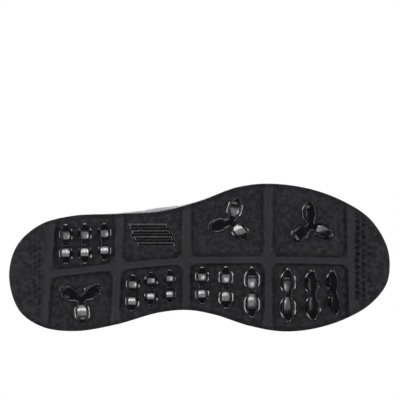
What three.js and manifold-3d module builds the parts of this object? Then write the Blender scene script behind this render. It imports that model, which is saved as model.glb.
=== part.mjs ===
// Spikeless golf shoe for the right foot, as an assembly of its sole unit, inner parts and upper.
// Millimetres, +X towards the toe, +Y towards the inner (medial) side, +Z up, lugs standing on z = 0.
import * as THREE from "three";
import { mergeVertices } from "three/addons/utils/BufferGeometryUtils.js";
import Module from "manifold-3d";

const wasm = await Module();
wasm.setup();

// ---- Driving dimensions ----
const SOLE_LENGTH = 300; // outsole, heel to toe
const SOLE_WIDTH = 116; // outsole, across the ball
const PATTERN_LENGTH = 300; // length and width that the plan patterns below are drawn at
const PATTERN_WIDTH = 116;
const GAP = 0.3; // between pieces that seat on each other

const LUG_HEIGHT = 4.4; // lug tip below the floor of its pad
const LUG_SEAT = 1.3; // depth of a lug's pocket above the pad floor
const RIDGE_HEIGHT = 1.5; // frame ridges below the pad floor
const RIDGE_WIDTH = 5.4;
const PAD_CORNER = 6.5; // radius of a pad's inner corners
const OUTSOLE_THICKNESS = 3.4; // pad floor to outsole top
const TOE_SPRING = 15; // lift of the toe tip
const TOE_SPRING_START = 48; // where the sole starts to rise, ahead of the middle
const HEEL_LIFT = 3; // lift of the heel tip
const HEEL_LIFT_RUN = 34; // length of the lifted heel

const HEEL_STACK = 27; // midsole height to its rim, at the heel
const FORE_STACK = 17; // and at the ball
const HEEL_STACK_X = -100;
const FORE_STACK_X = 62;
const RIM_DEPTH = 6.5; // height of the rim above the bed
const RIM_INSET = 0.8; // rim outside, in from the outsole edge
const WAIST_FLARE = 2.4; // how far the outer waist of the midsole stands past the outsole
const WAIST_FLARE_X = -36;
const WAIST_FLARE_RUN = 23;

const SHANK_LENGTH = 108;
const SHANK_WIDTH = 34;
const SHANK_THICKNESS = 1.6;
const SHANK_X = -22;
const SHANK_Y = 3.5;
const SHANK_CORNER = 12;

const FEATHER_INSET = 9.6; // foot of the upper's inside wall, in from the outsole edge
const BOARD_THICKNESS = 1.6;
const INSOLE_THICKNESS = 4.2;
const INSOLE_COVER_THICKNESS = 0.8;
const INSOLE_PLAY = 1.4; // insole edge to the wall
const HEEL_CUP_HEIGHT = 5; // rim of the insole above its middle at the heel

const LINING = [0, 0.9]; // layers of the upper, as distances outward from the inside wall
const STIFFENER = [1.2, 1.9];
const SHELL = [2.2, 3.3];
const OVERLAY = [3.6, 4.6];
const CUSHION_THICKNESS = 6.2;

const TONGUE_THICKNESS = 5.2;
const TONGUE_DROP = 1.6; // tongue below the inside wall
const TONGUE_LAP = 0.13; // share of a rib's rise that the tongue runs down under the facing
// Sections of the tongue's free top: move from the last rib it follows, width and arch against it.
const TONGUE_TOP = [
  [-6.5, 2.2, 6.5, 0.78, 0.95], [-12, 3.4, 13, 0.82, 0.74], [-17, 3.6, 19, 1.02, 0.55],
  [-20.5, 3.6, 24, 1.04, 0.45], [-22, 3.6, 26.5, 0.86, 0.4],
];
const STRAP_ANCHOR = [3.6, 5.2]; // layers of the closure strap, outward as above
const STRAP_HOOK = [4.9, 5.6];
const STRAP = [5.9, 7.7];
const TAB_HEIGHT = 13; // heel pull tab above the collar
const TAB_THICKNESS = 1.5;

const STEPS = 60; // points around every loop of the sole and the upper
const RIBS = 20; // ribs in the upper's pattern
const ROWS = 6; // rows of facets from the upper's foot to its top

// ---- Plan patterns, [x, y] at the pattern size ----
const OUTLINE = [
  [150, 6], [147.2, 21.5], [134, 37.3], [113, 49], [88, 56.3], [64, 58], [38, 53.4], [12, 45],
  [-9, 41.3], [-32, 43.2], [-66, 52.7], [-98, 57.8], [-124, 54.3], [-142, 41.5], [-150, 15],
  [-144, -9], [-126, -25.6], [-100, -32.8], [-66, -34.3], [-30, -36.5], [0, -44.6], [28, -54.9],
  [52, -58], [85, -54.3], [113, -44.2], [134, -30.5], [147.2, -10],
];
// Centre lines of the ridges that cross the sole, from the outer side to the inner side.
const CROSS_RIDGES = [
  [[-113, -60], [-124.5, 75]],
  [[-62, -60], [-67, 75]],
  [[-10, -75], [-11, 75]],
  [[53.6, -75], [53.6, 75]],
  [[117.5, -75], [120.5, 75]],
];
// Centre line of the ridge along the sole, at each crossing ridge.
const LONG_RIDGE = [[-119, 13], [-64.7, 7.1], [-10.4, 2.2], [53.6, 1.6], [118.8, 3]];
// Lugs of two petals: name, centre, length, width and turn.
const TWIN_LUGS = [
  ["heel_outer_1", -105.2, -10.6, 32.2, 11.2, 90],
  ["heel_outer_2", -90.3, -11.1, 32.6, 11.2, 90],
  ["heel_outer_3", -74.8, -12.4, 30.4, 11, 90],
  ["waist_inner_1", -52.9, 27.7, 29.8, 11.2, 92],
  ["waist_inner_2", -38.3, 24.3, 27, 10.8, 91],
  ["waist_inner_3", -23.5, 22.6, 27.2, 9.8, 90],
  ["ball_inner_1", 1.7, 21.9, 30.2, 11.2, 90],
  ["ball_inner_2", 20.4, 23.5, 34.2, 11.8, 90],
  ["ball_inner_3", 40.9, 27.1, 41, 12.6, 90],
  ["toe_inner_1", 69.2, 29.5, 43, 12.6, 90],
  ["toe_inner_2", 88.5, 29.5, 40.2, 12.6, 88],
  ["toe_inner_3", 105.3, 27.4, 35.2, 11.4, 85],
];
// Lugs of three petals: name, centre and the turn of the first petal.
const TREFOIL_LUGS = [
  ["heel_inner", -93.1, 32.6, -34],
  ["ball_outer", 24.4, -28.1, -74],
  ["toe_outer", 87.3, -25, -95],
];
const TREFOIL_PETAL = 18.6; // centre to petal tip
const TREFOIL_WIDTH = 12;
// Plain ribbed insert that fills the outer waist pad.
const INSERT_CENTRE = [-37.5, -17.5];
const INSERT_SIZE = [33, 19];
const INSERT_SLANT = 8;
const INSERT_HEIGHT = 0.9;
const INSERT_RIBS = 4;
const INSERT_RIB_WIDTH = 2.6;

// The upper's ribs, from the toe round the inner side, the heel and the outer side:
// top point [x, y, z], upper handle [x, y, z] from it, and lower handle [out, up] from the foot.
const RIB_PATTERN = [
  [[60, 2, 67], [40, 0, -5], [4, 21]],
  [[58.5, 5.5, 67.5], [32, 14, -6], [4, 20]],
  [[54, 8.5, 69], [20, 21, -7], [4, 19]],
  [[44, 11, 72], [6, 23, -7], [4, 18]],
  [[25, 12.5, 78], [0, 21, -8], [4, 18]],
  [[-2, 14, 88], [-2, 16, -11], [4, 20]],
  [[-30, 18, 100], [-4, 14, -17], [4, 22]],
  [[-62, 34, 96], [0, 7, -22], [4, 22]],
  [[-92, 42, 84], [0, 4, -18], [4, 20]],
  [[-126, 34, 92], [-3, 3, -22], [4, 22]],
  [[-139, 13.5, 104], [-4, 0, -28], [4, 24]],
  [[-124, -7.5, 92], [-3, -3, -22], [4, 22]],
  [[-90, -18, 84], [0, -4, -18], [4, 20]],
  [[-60, -16, 96], [0, -12, -22], [8, 22]],
  [[-30, -7, 100], [-4, -37, -19], [9.2, 23]],
  [[-2, -6, 88], [-2, -29, -13], [7.6, 20]],
  [[25, -7, 78], [0, -21, -8], [4, 18]],
  [[44, -7.5, 72], [6, -23, -7], [4, 18]],
  [[54, -5, 69], [20, -21, -7], [4, 19]],
  [[58.5, -1.5, 67.5], [32, -14, -6], [4, 20]],
];

// ---- Finishes ----
const finish = (color, roughness, metalness = 0) =>
  new THREE.MeshStandardMaterial({ color, roughness, metalness });
const RUBBER = finish(0x2b2a2e, 0.75);
const GLOSS = finish(0x101013, 0.18);
const FOAM = finish(0xc9c8cc, 0.6);
const PLASTIC = finish(0x3a3b40, 0.45);
const BOARD = finish(0x8d8a80, 0.9);
const INSOLE_FOAM = finish(0x55575c, 0.9);
const CLOTH = finish(0x1c1c20, 0.9);
const KNIT = finish(0x222226, 0.85);
const SYNTHETIC = finish(0x17171a, 0.5);
const OVERLAY_FILM = finish(0x1f1f23, 0.35);
const WEBBING = finish(0x18181a, 0.8);

const shoe = new THREE.Group();

/** Adds a named piece to the shoe, in world space or at the given matrix. */
function add(name, geometry, material, matrix) {
  const mesh = new THREE.Mesh(geometry, material);
  mesh.name = name;
  if (matrix) mesh.applyMatrix4(matrix);
  shoe.add(mesh);
}

// ---- Solids ----
/** A closed geometry as a manifold-3d solid. */
function toSolid(geometry) {
  const g = (geometry.index ? geometry.toNonIndexed() : geometry.clone());
  g.deleteAttribute("normal");
  g.deleteAttribute("uv");
  const merged = mergeVertices(g, 1e-4);
  return new wasm.Manifold(
    new wasm.Mesh({
      numProp: 3,
      vertProperties: merged.attributes.position.array,
      triVerts: new Uint32Array(merged.index.array),
    }),
  );
}

/** A manifold-3d solid as a geometry. */
function toGeometry(solid) {
  const mesh = solid.getMesh();
  return new THREE.BufferGeometry()
    .setAttribute("position", new THREE.BufferAttribute(mesh.vertProperties, 3))
    .setIndex(new THREE.BufferAttribute(mesh.triVerts, 1));
}

/** A geometry with each cutter, itself a geometry, taken away. */
function cut(geometry, cutters) {
  return toGeometry(cutters.reduce((solid, c) => solid.subtract(toSolid(c)), toSolid(geometry)));
}

/** A geometry from corner points and triangles. */
function faceted(points, triangles) {
  const positions = new Float32Array(points.flatMap((p) => [p.x, p.y, p.z]));
  return new THREE.BufferGeometry()
    .setAttribute("position", new THREE.BufferAttribute(positions, 3))
    .setIndex(triangles.flat());
}

/** Solid between loops of equal count, each counter-clockwise from above, from the bottom out, up
 *  the side and back over the top. Each end is closed across by rungs. Facets are split from the
 *  outer of two loops to the inner one, so solids made on the same loops lie parallel. */
function loopSolid(loops) {
  const n = loops[0].length;
  const triangles = [];
  for (let k = 0; k + 1 < loops.length; k++) {
    const inward = loops[k + 1][0].x <= loops[k][0].x;
    for (let i = 0; i < n; i++) {
      const j = (i + 1) % n;
      const [a, b, c, d] = [k * n + i, k * n + j, (k + 1) * n + j, (k + 1) * n + i];
      triangles.push(...(inward ? [[a, b, c], [a, c, d]] : [[a, b, d], [b, c, d]]));
    }
  }
  const last = (loops.length - 1) * n;
  for (let i = 0; i < n / 2; i++) {
    const [a, b, c, d] = [i, i + 1, n - i - 1, (n - i) % n];
    if (i + 1 !== c) triangles.push([b, a, c], [last + a, last + b, last + c]);
    if (a !== d) triangles.push([a, d, c], [last + a, last + c, last + d]);
  }
  return faceted(loops.flat(), triangles);
}

/** Thin solid between an inner and an outer face, each given as a function of column and row.
 *  Facets that shrink to nothing are left out. With closed set, the columns join in a ring. */
function slab(columns, rows, inner, outer, closed = false) {
  const width = closed ? columns : columns + 1;
  const points = [];
  for (const face of [outer, inner])
    for (let i = 0; i < width; i++)
      for (let j = 0; j <= rows; j++) points.push(face(i, j));
  const at = (i, j, face) => face * width * (rows + 1) + (i % width) * (rows + 1) + j;
  const triangles = [];
  const quad = (p, q, r, s) => {
    for (const t of [[p, q, r], [p, r, s]]) {
      const [u, v, w] = t.map((k) => points[k]);
      if (!u.equals(v) && !v.equals(w) && !w.equals(u)) triangles.push(t);
    }
  };
  for (let i = 0; i < columns; i++)
    for (let j = 0; j < rows; j++) {
      quad(at(i, j, 0), at(i + 1, j, 0), at(i + 1, j + 1, 0), at(i, j + 1, 0));
      quad(at(i, j, 1), at(i, j + 1, 1), at(i + 1, j + 1, 1), at(i + 1, j, 1));
    }
  for (let i = 0; i < columns; i++) {
    quad(at(i, 0, 1), at(i + 1, 0, 1), at(i + 1, 0, 0), at(i, 0, 0));
    quad(at(i, rows, 0), at(i + 1, rows, 0), at(i + 1, rows, 1), at(i, rows, 1));
  }
  if (!closed)
    for (let j = 0; j < rows; j++) {
      quad(at(0, j, 1), at(0, j, 0), at(0, j + 1, 0), at(0, j + 1, 1));
      quad(at(columns, j, 0), at(columns, j, 1), at(columns, j + 1, 1), at(columns, j + 1, 0));
    }
  return faceted(points, triangles);
}

/** Upright prism of a plan shape, from one height to another. */
function prism(shape, low, high) {
  const geometry = new THREE.ExtrudeGeometry(shape, {
    depth: high - low,
    bevelEnabled: false,
    curveSegments: 4,
  });
  return geometry.translate(0, 0, low);
}

// ---- Heights along the shoe ----
const gradeX = (x) => (x * SOLE_LENGTH) / PATTERN_LENGTH;
const gradeY = (y) => (y * SOLE_WIDTH) / PATTERN_WIDTH;
const half = SOLE_LENGTH / 2;
const ease = (s) => s * s * (3 - 2 * s);
const clamp01 = (s) => Math.min(1, Math.max(0, s));

/** Lift of the sole's curve above the ground. */
function rocker(x) {
  const start = gradeX(TOE_SPRING_START);
  const toe = Math.max(0, (x - start) / (half - start));
  const heel = Math.max(0, (-x - (half - HEEL_LIFT_RUN)) / HEEL_LIFT_RUN);
  return TOE_SPRING * toe * toe + HEEL_LIFT * heel * heel;
}
const floorZ = (x) => LUG_HEIGHT + rocker(x);
const outsoleTopZ = (x) => floorZ(x) + OUTSOLE_THICKNESS;
/** Height of the midsole's rim. */
function rimZ(x) {
  const s = clamp01((x - gradeX(HEEL_STACK_X)) / gradeX(FORE_STACK_X - HEEL_STACK_X));
  return outsoleTopZ(x) + GAP + HEEL_STACK + (FORE_STACK - HEEL_STACK) * ease(s);
}
const bedZ = (x) => rimZ(x) - RIM_DEPTH;

// ---- Loops round the sole ----
const outline = new THREE.CatmullRomCurve3(
  OUTLINE.map(([x, y]) => new THREE.Vector3(gradeX(x), gradeY(y), 0)),
  true,
  "centripetal",
);
outline.arcLengthDivisions = 1200;

/** Point of the outsole's outline and its outward direction, at a share of the way round. */
function edge(t) {
  const share = ((t % 1) + 1) % 1;
  const point = outline.getPointAt(share);
  const along = outline.getTangentAt(share);
  return { point, out: new THREE.Vector3(along.y, -along.x, 0) };
}

/** Extra reach of the midsole at the outer waist. */
function flare(point) {
  const s = (point.x - gradeX(WAIST_FLARE_X)) / WAIST_FLARE_RUN;
  return point.y < 0 ? WAIST_FLARE * Math.exp(-s * s) : 0;
}

/** Loop at an inset from the outline, with its height from a function of x. */
function soleLoop(inset, height, flareShare = 0) {
  return Array.from({ length: STEPS }, (_, i) => {
    const { point, out } = edge(i / STEPS);
    const p = point.clone().addScaledVector(out, flareShare * flare(point) - inset);
    p.z = height(p.x);
    return p;
  });
}

// ---- Outsole with its pads and ridges ----
/** Point of a crossing ridge at a given y. */
function ridgeAt(ridge, y) {
  const [[x0, y0], [x1, y1]] = CROSS_RIDGES[ridge];
  return gradeX(x0 + ((x1 - x0) * (y - y0)) / (y1 - y0));
}

/** Plan of a pad between two crossing ridges, on the outer (-1) or inner (1) side. It runs out past
 *  the edge of the sole. */
function padShape(column, side) {
  const [, yLeft] = LONG_RIDGE[column];
  const [, yRight] = LONG_RIDGE[column + 1];
  const reach = side * PATTERN_WIDTH * 0.62;
  const w = RIDGE_WIDTH / 2;
  const left = (y) => ridgeAt(column, y) + w;
  const right = (y) => ridgeAt(column + 1, y) - w;
  const [nearLeft, nearRight] = [gradeY(yLeft) + side * w, gradeY(yRight) + side * w];
  const corner = side * PAD_CORNER;
  const shape = new THREE.Shape();
  shape.moveTo(left(reach), gradeY(reach));
  shape.lineTo(left(yLeft), nearLeft + corner);
  shape.quadraticCurveTo(left(yLeft), nearLeft, left(yLeft) + PAD_CORNER, nearLeft);
  shape.lineTo(right(yRight) - PAD_CORNER, nearRight);
  shape.quadraticCurveTo(right(yRight), nearRight, right(yRight), nearRight + corner);
  shape.lineTo(right(reach), gradeY(reach));
  return shape;
}

/** Everything below a height that follows the sole's curve. */
function belowCurve(height) {
  const steps = 20;
  const profile = new THREE.Shape();
  profile.moveTo(-half - 10, -10);
  for (let i = 0; i <= steps; i++) {
    const x = -half - 10 + (i / steps) * (SOLE_LENGTH + 20);
    profile.lineTo(x, height(x));
  }
  profile.lineTo(half + 10, -10);
  const depth = SOLE_WIDTH * 2;
  const geometry = new THREE.ExtrudeGeometry(profile, { depth, bevelEnabled: false });
  return geometry.rotateX(Math.PI / 2).translate(0, depth / 2, 0);
}

/** Frame of a lug: on the pad floor, tilted with the sole and turned in plan. */
function lugMatrix(x, y, turnDegrees) {
  const slope = (floorZ(x + 1) - floorZ(x - 1)) / 2;
  const tilt = new THREE.Matrix4().makeRotationY(-Math.atan(slope));
  const turn = new THREE.Matrix4().makeRotationZ(THREE.MathUtils.degToRad(turnDegrees));
  return new THREE.Matrix4().makeTranslation(x, y, floorZ(x)).multiply(tilt).multiply(turn);
}

/** Loop of a petal that points along +X: half length and half width, grown by an allowance. */
function petalLoop(reach, halfWidth, grow, height) {
  const root = -2 - grow;
  const tip = reach + grow;
  const w = halfWidth + grow;
  const side = [
    [root, -0.5 * w], [0.34 * reach, -w], [0.64 * reach, -w],
    [tip - 0.12 * reach, -0.52 * w], [tip, -0.26 * w],
  ];
  const mirrored = side.map(([x, y]) => [x, -y]).reverse();
  return [...side, ...mirrored].map(([x, y]) => new THREE.Vector3(x, y, height));
}

/** Convex solid between loops of equal count, from the lowest loop up. */
function convexStack(loops) {
  const n = loops[0].length;
  const triangles = [];
  for (let k = 0; k + 1 < loops.length; k++)
    for (let i = 0; i < n; i++) {
      const j = (i + 1) % n;
      triangles.push([k * n + i, k * n + j, (k + 1) * n + j]);
      triangles.push([k * n + i, (k + 1) * n + j, (k + 1) * n + i]);
    }
  const last = (loops.length - 1) * n;
  for (let i = 1; i + 1 < n; i++) triangles.push([0, i + 1, i], [last, last + i, last + i + 1]);
  return faceted(loops.flat(), triangles);
}

/** One petal of a lug: its foot in the pocket, its skirt and its narrower crest. */
function petal(reach, halfWidth) {
  const crest = petalLoop(reach, halfWidth, 0, -LUG_HEIGHT).map((p) => {
    const x = 2.6 + (p.x + 2) * ((reach - 4.6) / (reach + 2));
    return new THREE.Vector3(x, p.y * 0.5, p.z);
  });
  return convexStack([
    crest,
    petalLoop(reach, halfWidth, 0, -0.9),
    petalLoop(reach, halfWidth, 0, LUG_SEAT - GAP),
  ]);
}

/** Petals at even turns joined into one lug. */
function lugGeometry(petals, reach, halfWidth) {
  const solids = Array.from({ length: petals }, (_, i) =>
    toSolid(petal(reach, halfWidth).rotateZ((i * 2 * Math.PI) / petals)),
  );
  return toGeometry(solids.reduce((a, b) => a.add(b)));
}

/** Pocket of a lug, with clearance all round. */
function lugPocket(petals, reach, halfWidth, matrix) {
  const solids = Array.from({ length: petals }, (_, i) => {
    const loops = [-LUG_HEIGHT, LUG_SEAT].map((z) => petalLoop(reach, halfWidth, GAP, z));
    return toSolid(convexStack(loops).rotateZ((i * 2 * Math.PI) / petals));
  });
  return toGeometry(solids.reduce((a, b) => a.add(b))).applyMatrix4(matrix);
}

/** Slanted plan of the waist insert, grown by an allowance. */
function insertShape(grow) {
  const [w, h] = INSERT_SIZE.map((v) => v / 2 + grow);
  const s = INSERT_SLANT / 2;
  return new THREE.Shape([
    new THREE.Vector2(-w - s, -h), new THREE.Vector2(w - s, -h),
    new THREE.Vector2(w + s, h), new THREE.Vector2(-w + s, h),
  ]);
}

/** Ribbed plate of the waist insert, ribs downward. */
function insertGeometry() {
  const plate = toSolid(prism(insertShape(0), -INSERT_HEIGHT / 2, LUG_SEAT - GAP));
  const pitch = INSERT_SIZE[1] / INSERT_RIBS;
  const ribs = Array.from({ length: INSERT_RIBS }, (_, i) => {
    const y = (i + 0.5) * pitch - INSERT_SIZE[1] / 2;
    const rib = new THREE.BoxGeometry(INSERT_SIZE[0] - 4, INSERT_RIB_WIDTH, INSERT_HEIGHT);
    const x = (y * INSERT_SLANT) / INSERT_SIZE[1];
    return toSolid(rib.translate(x, y, -INSERT_HEIGHT / 2 - GAP));
  });
  return toGeometry(ribs.reduce((a, b) => a.add(b), plate));
}

function addSoleUnit() {
  const ridgeZ = (x) => floorZ(x) - RIDGE_HEIGHT;
  const plate = loopSolid([
    soleLoop(4, ridgeZ),
    soleLoop(1.2, (x) => floorZ(x) - 0.3),
    soleLoop(0, (x) => floorZ(x) + 1.2),
    soleLoop(0.2, outsoleTopZ),
  ]);
  const under = toSolid(belowCurve(floorZ));
  const pads = [0, 1, 2, 3].flatMap((column) =>
    [-1, 1].map((side) => toGeometry(toSolid(prism(padShape(column, side), -9, 40)).intersect(under))),
  );
  const pockets = [];
  for (const [name, x, y, length, width, turn] of TWIN_LUGS) {
    const matrix = lugMatrix(gradeX(x), gradeY(y), turn);
    add(`twin_lug_${name}`, lugGeometry(2, length / 2, width / 2), GLOSS, matrix);
    pockets.push(lugPocket(2, length / 2, width / 2, matrix));
  }
  for (const [name, x, y, turn] of TREFOIL_LUGS) {
    const matrix = lugMatrix(gradeX(x), gradeY(y), turn);
    add(`trefoil_lug_${name}`, lugGeometry(3, TREFOIL_PETAL, TREFOIL_WIDTH / 2), GLOSS, matrix);
    pockets.push(lugPocket(3, TREFOIL_PETAL, TREFOIL_WIDTH / 2, matrix));
  }
  const [x, y] = INSERT_CENTRE;
  const place = lugMatrix(gradeX(x), gradeY(y), 0);
  add("waist_insert", insertGeometry(), GLOSS, place);
  pockets.push(prism(insertShape(GAP), -LUG_HEIGHT, LUG_SEAT).applyMatrix4(place));
  add("outsole", cut(plate, [...pads, ...pockets]), RUBBER);

  const foam = loopSolid([
    soleLoop(0.4, (x) => outsoleTopZ(x) + GAP, 0.35),
    soleLoop(-0.2, (x) => outsoleTopZ(x) + 0.3 * (rimZ(x) - outsoleTopZ(x)), 0.8),
    soleLoop(0.6, (x) => outsoleTopZ(x) + 0.7 * (rimZ(x) - outsoleTopZ(x)), 1),
    soleLoop(RIM_INSET + 0.6, (x) => rimZ(x) - 0.6, 1),
    soleLoop(RIM_INSET + 1.2, rimZ, 1),
    soleLoop(FEATHER_INSET - OVERLAY[1] - 1.9, rimZ, 0.9),
    soleLoop(FEATHER_INSET - OVERLAY[1] - 0.5, bedZ, 0.4),
  ]);
  const shankZ = outsoleTopZ(0) + GAP;
  const shankShape = (grow) => {
    const [w, h] = [SHANK_LENGTH / 2 + grow, SHANK_WIDTH / 2 + grow];
    const c = SHANK_CORNER;
    return new THREE.Shape()
      .moveTo(-w + c, -h).lineTo(w - c, -h).quadraticCurveTo(w, -h, w, -h + c)
      .lineTo(w, h - c).quadraticCurveTo(w, h, w - c, h)
      .lineTo(-w + c, h).quadraticCurveTo(-w, h, -w, h - c)
      .lineTo(-w, -h + c).quadraticCurveTo(-w, -h, -w + c, -h);
  };
  const [shankX, shankY] = [gradeX(SHANK_X), gradeY(SHANK_Y)];
  const recess = prism(shankShape(GAP), shankZ - 3, shankZ + SHANK_THICKNESS + GAP);
  add("midsole", cut(foam, [recess.translate(shankX, shankY, 0)]), FOAM);
  const shank = prism(shankShape(0), shankZ, shankZ + SHANK_THICKNESS);
  add("shank_plate", shank.translate(shankX, shankY, 0), PLASTIC);
}

// ---- Upper ----
const ribCurve = (pick) =>
  new THREE.CatmullRomCurve3(RIB_PATTERN.map(pick), true, "catmullrom", 0.5);
const topCurve = ribCurve(([[x, y, z]]) => new THREE.Vector3(gradeX(x), gradeY(y), z));
const upperHandles = ribCurve(([, [x, y, z]]) => new THREE.Vector3(gradeX(x), gradeY(y), z));
const lowerHandles = ribCurve(([, , [out, up]]) => new THREE.Vector3(out, up, 0));

/** Point of the upper's inside wall. Rib counts round from the toe, rise runs from foot to top. */
function wall(rib, rise) {
  const t = (((rib / RIBS) % 1) + 1) % 1;
  const { point, out } = edge(t);
  const foot = point.clone().addScaledVector(out, -FEATHER_INSET);
  const outermost = point.clone().addScaledVector(out, OVERLAY[1] - FEATHER_INSET);
  foot.z = bedZ(outermost.x) + GAP;
  const lower = lowerHandles.getPoint(t);
  const low = foot.clone().addScaledVector(out, lower.x).add(new THREE.Vector3(0, 0, lower.y));
  const top = topCurve.getPoint(t);
  const high = top.clone().add(upperHandles.getPoint(t));
  return new THREE.CubicBezierCurve3(foot, low, high, top).getPoint(rise);
}

/** Outward direction of the upper's wall, level at the foot. */
function outward(rib, rise) {
  const [dr, dh] = [0.02, 0.004];
  const [h0, h1] = [Math.max(0, rise - dh), Math.min(1, rise + dh)];
  const along = wall(rib + dr, rise).sub(wall(rib - dr, rise));
  const up = wall(rib, h1).sub(wall(rib, h0));
  const normal = along.cross(up).normalize();
  const level = new THREE.Vector3(normal.x, normal.y, 0).normalize();
  return level.lerp(normal, ease(clamp01(rise / 0.22))).normalize();
}

/** Point at a distance outward from the inside wall. */
function shellPoint(rib, rise, distance) {
  return wall(rib, rise).addScaledVector(outward(rib, rise), distance);
}

const steady = (value) => () => value;
const other = (rib) => RIBS - rib;
const limit = (value, low, high) => Math.min(high, Math.max(low, value));

/** Panel of the upper in one layer, from rib r0 to r1 and between two rises given along it. Its
 *  facets keep to the ribs and rows that all panels share, so layers lie parallel. Lean moves its
 *  ends along the shoe as it rises. */
function panel([inner, outer], [r0, r1], low, high, lean = 0) {
  const perRib = STEPS / RIBS;
  const first = Math.floor((r0 + Math.min(0, lean)) * perRib);
  const last = Math.ceil((r1 + Math.max(0, lean)) * perRib);
  const face = (layer) => (i, j) => {
    const station = (first + i) / perRib;
    const share = clamp01((station - r0) / (r1 - r0));
    const rise = limit(j / ROWS, low(share), high(share));
    const rib = limit(station, r0 + lean * rise, r1 + lean * rise);
    const distance = typeof layer === "number" ? layer : layer(share, rise);
    return shellPoint(rib, rise, distance);
  };
  return slab(last - first, ROWS, face(inner), face(outer));
}

const SEAM = 3.85; // rib where vamp and quarters meet
const SEAM_HALF = 0.012;

function addUpper() {
  const loop = (distance) => (i, j) => shellPoint((i * RIBS) / STEPS, j / ROWS, distance);
  add("lining", slab(STEPS, ROWS, loop(LINING[0]), loop(LINING[1]), true), CLOTH);
  const [bottom, top] = [steady(0), steady(1)];
  add("toe_puff", panel(STIFFENER, [-8 / 3, 8 / 3], bottom, steady(2 / ROWS)), BOARD);
  add("heel_counter", panel(STIFFENER, [23 / 3, 37 / 3], bottom, steady(4 / ROWS)), BOARD);
  add("vamp", panel(SHELL, [-SEAM + SEAM_HALF, SEAM - SEAM_HALF], bottom, top), KNIT);
  const toeTop = (a) => 0.17 + 0.2 * Math.sin(Math.PI * a) ** 1.5;
  add("toe_guard", panel(OVERLAY, [-3.7, 3.7], bottom, toeTop), OVERLAY_FILM);
  const heelTop = (a) => 0.34 + 0.4 * Math.sin(Math.PI * a) ** 2;
  add("heel_cap", panel(OVERLAY, [8, 12], bottom, heelTop), OVERLAY_FILM);
  for (const [side, turn] of [["inner", (r) => r], ["outer", other]]) {
    // A span and a height along it, on this side of the shoe.
    const span = (front, back) => [turn(front), turn(back)].sort((a, b) => a - b);
    const along = (height) => (side === "inner" ? height : (a) => height(1 - a));
    const lean = side === "inner" ? -0.4 : 0.4;
    add(`foam_backing_${side}`, panel(STIFFENER, span(3, 22 / 3), bottom, steady(5 / ROWS)), INSOLE_FOAM);
    add(`quarter_${side}`, panel(SHELL, span(SEAM + SEAM_HALF, 10 - SEAM_HALF), bottom, top), KNIT);
    const facingLow = along((a) => 0.84 - 0.06 * a);
    add(`throat_facing_${side}`, panel(OVERLAY, span(0.35, 6.55), facingLow, top), SYNTHETIC);
    add(`saddle_${side}`, panel(OVERLAY, span(5.7, 7.5), bottom, steady(0.74), lean), SYNTHETIC);
  }
  const depth = (a, rise) => {
    const roll = Math.sin(Math.PI * limit((rise - 0.62) / 0.4, 0.1, 0.9));
    return -GAP - 1.2 - (CUSHION_THICKNESS - 1.2) * roll * Math.min(1, 0.25 + 6 * Math.min(a, 1 - a));
  };
  add("collar_cushion", panel([depth, -GAP], [7, 13], steady(0.64), steady(0.99)), CLOTH);
  addPullTab();
}

/** Loop of webbing over the collar at the heel. */
function addPullTab() {
  const [r0, r1] = [9.78, 10.22];
  const [inside, outside] = [-GAP * 2 - CUSHION_THICKNESS, SHELL[1] + GAP];
  const [middle, reach] = [(inside + outside) / 2, (outside - inside) / 2];
  const steps = 16;
  const arm = 0.3;
  const face = (thickness) => (i, j) => {
    const rib = r0 + ((r1 - r0) * i) / 2;
    const b = j / steps;
    if (b <= arm) return shellPoint(rib, 0.82 + (0.18 * b) / arm, outside + thickness);
    if (b >= 1 - arm)
      return shellPoint(rib, 1 - (0.1 * (b - 1 + arm)) / arm, inside - thickness);
    const turn = (Math.PI * (b - arm)) / (1 - 2 * arm);
    const distance = middle + (reach + thickness) * Math.cos(turn);
    const lift = (TAB_HEIGHT - TAB_THICKNESS + thickness) * Math.sin(turn);
    return shellPoint(rib, 1, distance).add(new THREE.Vector3(0, 0, lift));
  };
  add("heel_pull_tab", slab(2, steps, face(0), face(TAB_THICKNESS)), WEBBING);
}

// ---- Over the instep: tongue and closure strap ----
/** Inside wall carried across the throat at a rib from the inner side. Rise 0 to 1 is the inner
 *  side, 1 to 2 the span across and 2 to 3 the outer side from its top down. */
function instep(rib, rise) {
  if (rise <= 1) return wall(rib, rise);
  if (rise >= 2) return wall(other(rib), 3 - rise);
  const [from, to] = [wall(rib, 1), wall(other(rib), 1)];
  const reach = 0.35 * from.distanceTo(to);
  const [low, high] = [rib, other(rib)].map((r) =>
    upperHandles.getPoint(r / RIBS).normalize().multiplyScalar(-reach),
  );
  return new THREE.CubicBezierCurve3(from, low.add(from), high.add(to), to).getPoint(rise - 1);
}

/** Point at a distance outward from the wall carried across the throat. */
function instepPoint(rib, rise, distance) {
  const [dr, dh] = [0.02, 0.01];
  const along = instep(rib + dr, rise).sub(instep(rib - dr, rise));
  const up = instep(rib, rise + dh).sub(instep(rib, rise - dh));
  return instep(rib, rise).addScaledVector(along.cross(up).normalize(), distance);
}

/** Middle of the throat at a rib. */
const throat = (rib) => wall(rib, 1).add(wall(other(rib), 1)).multiplyScalar(0.5);

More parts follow.
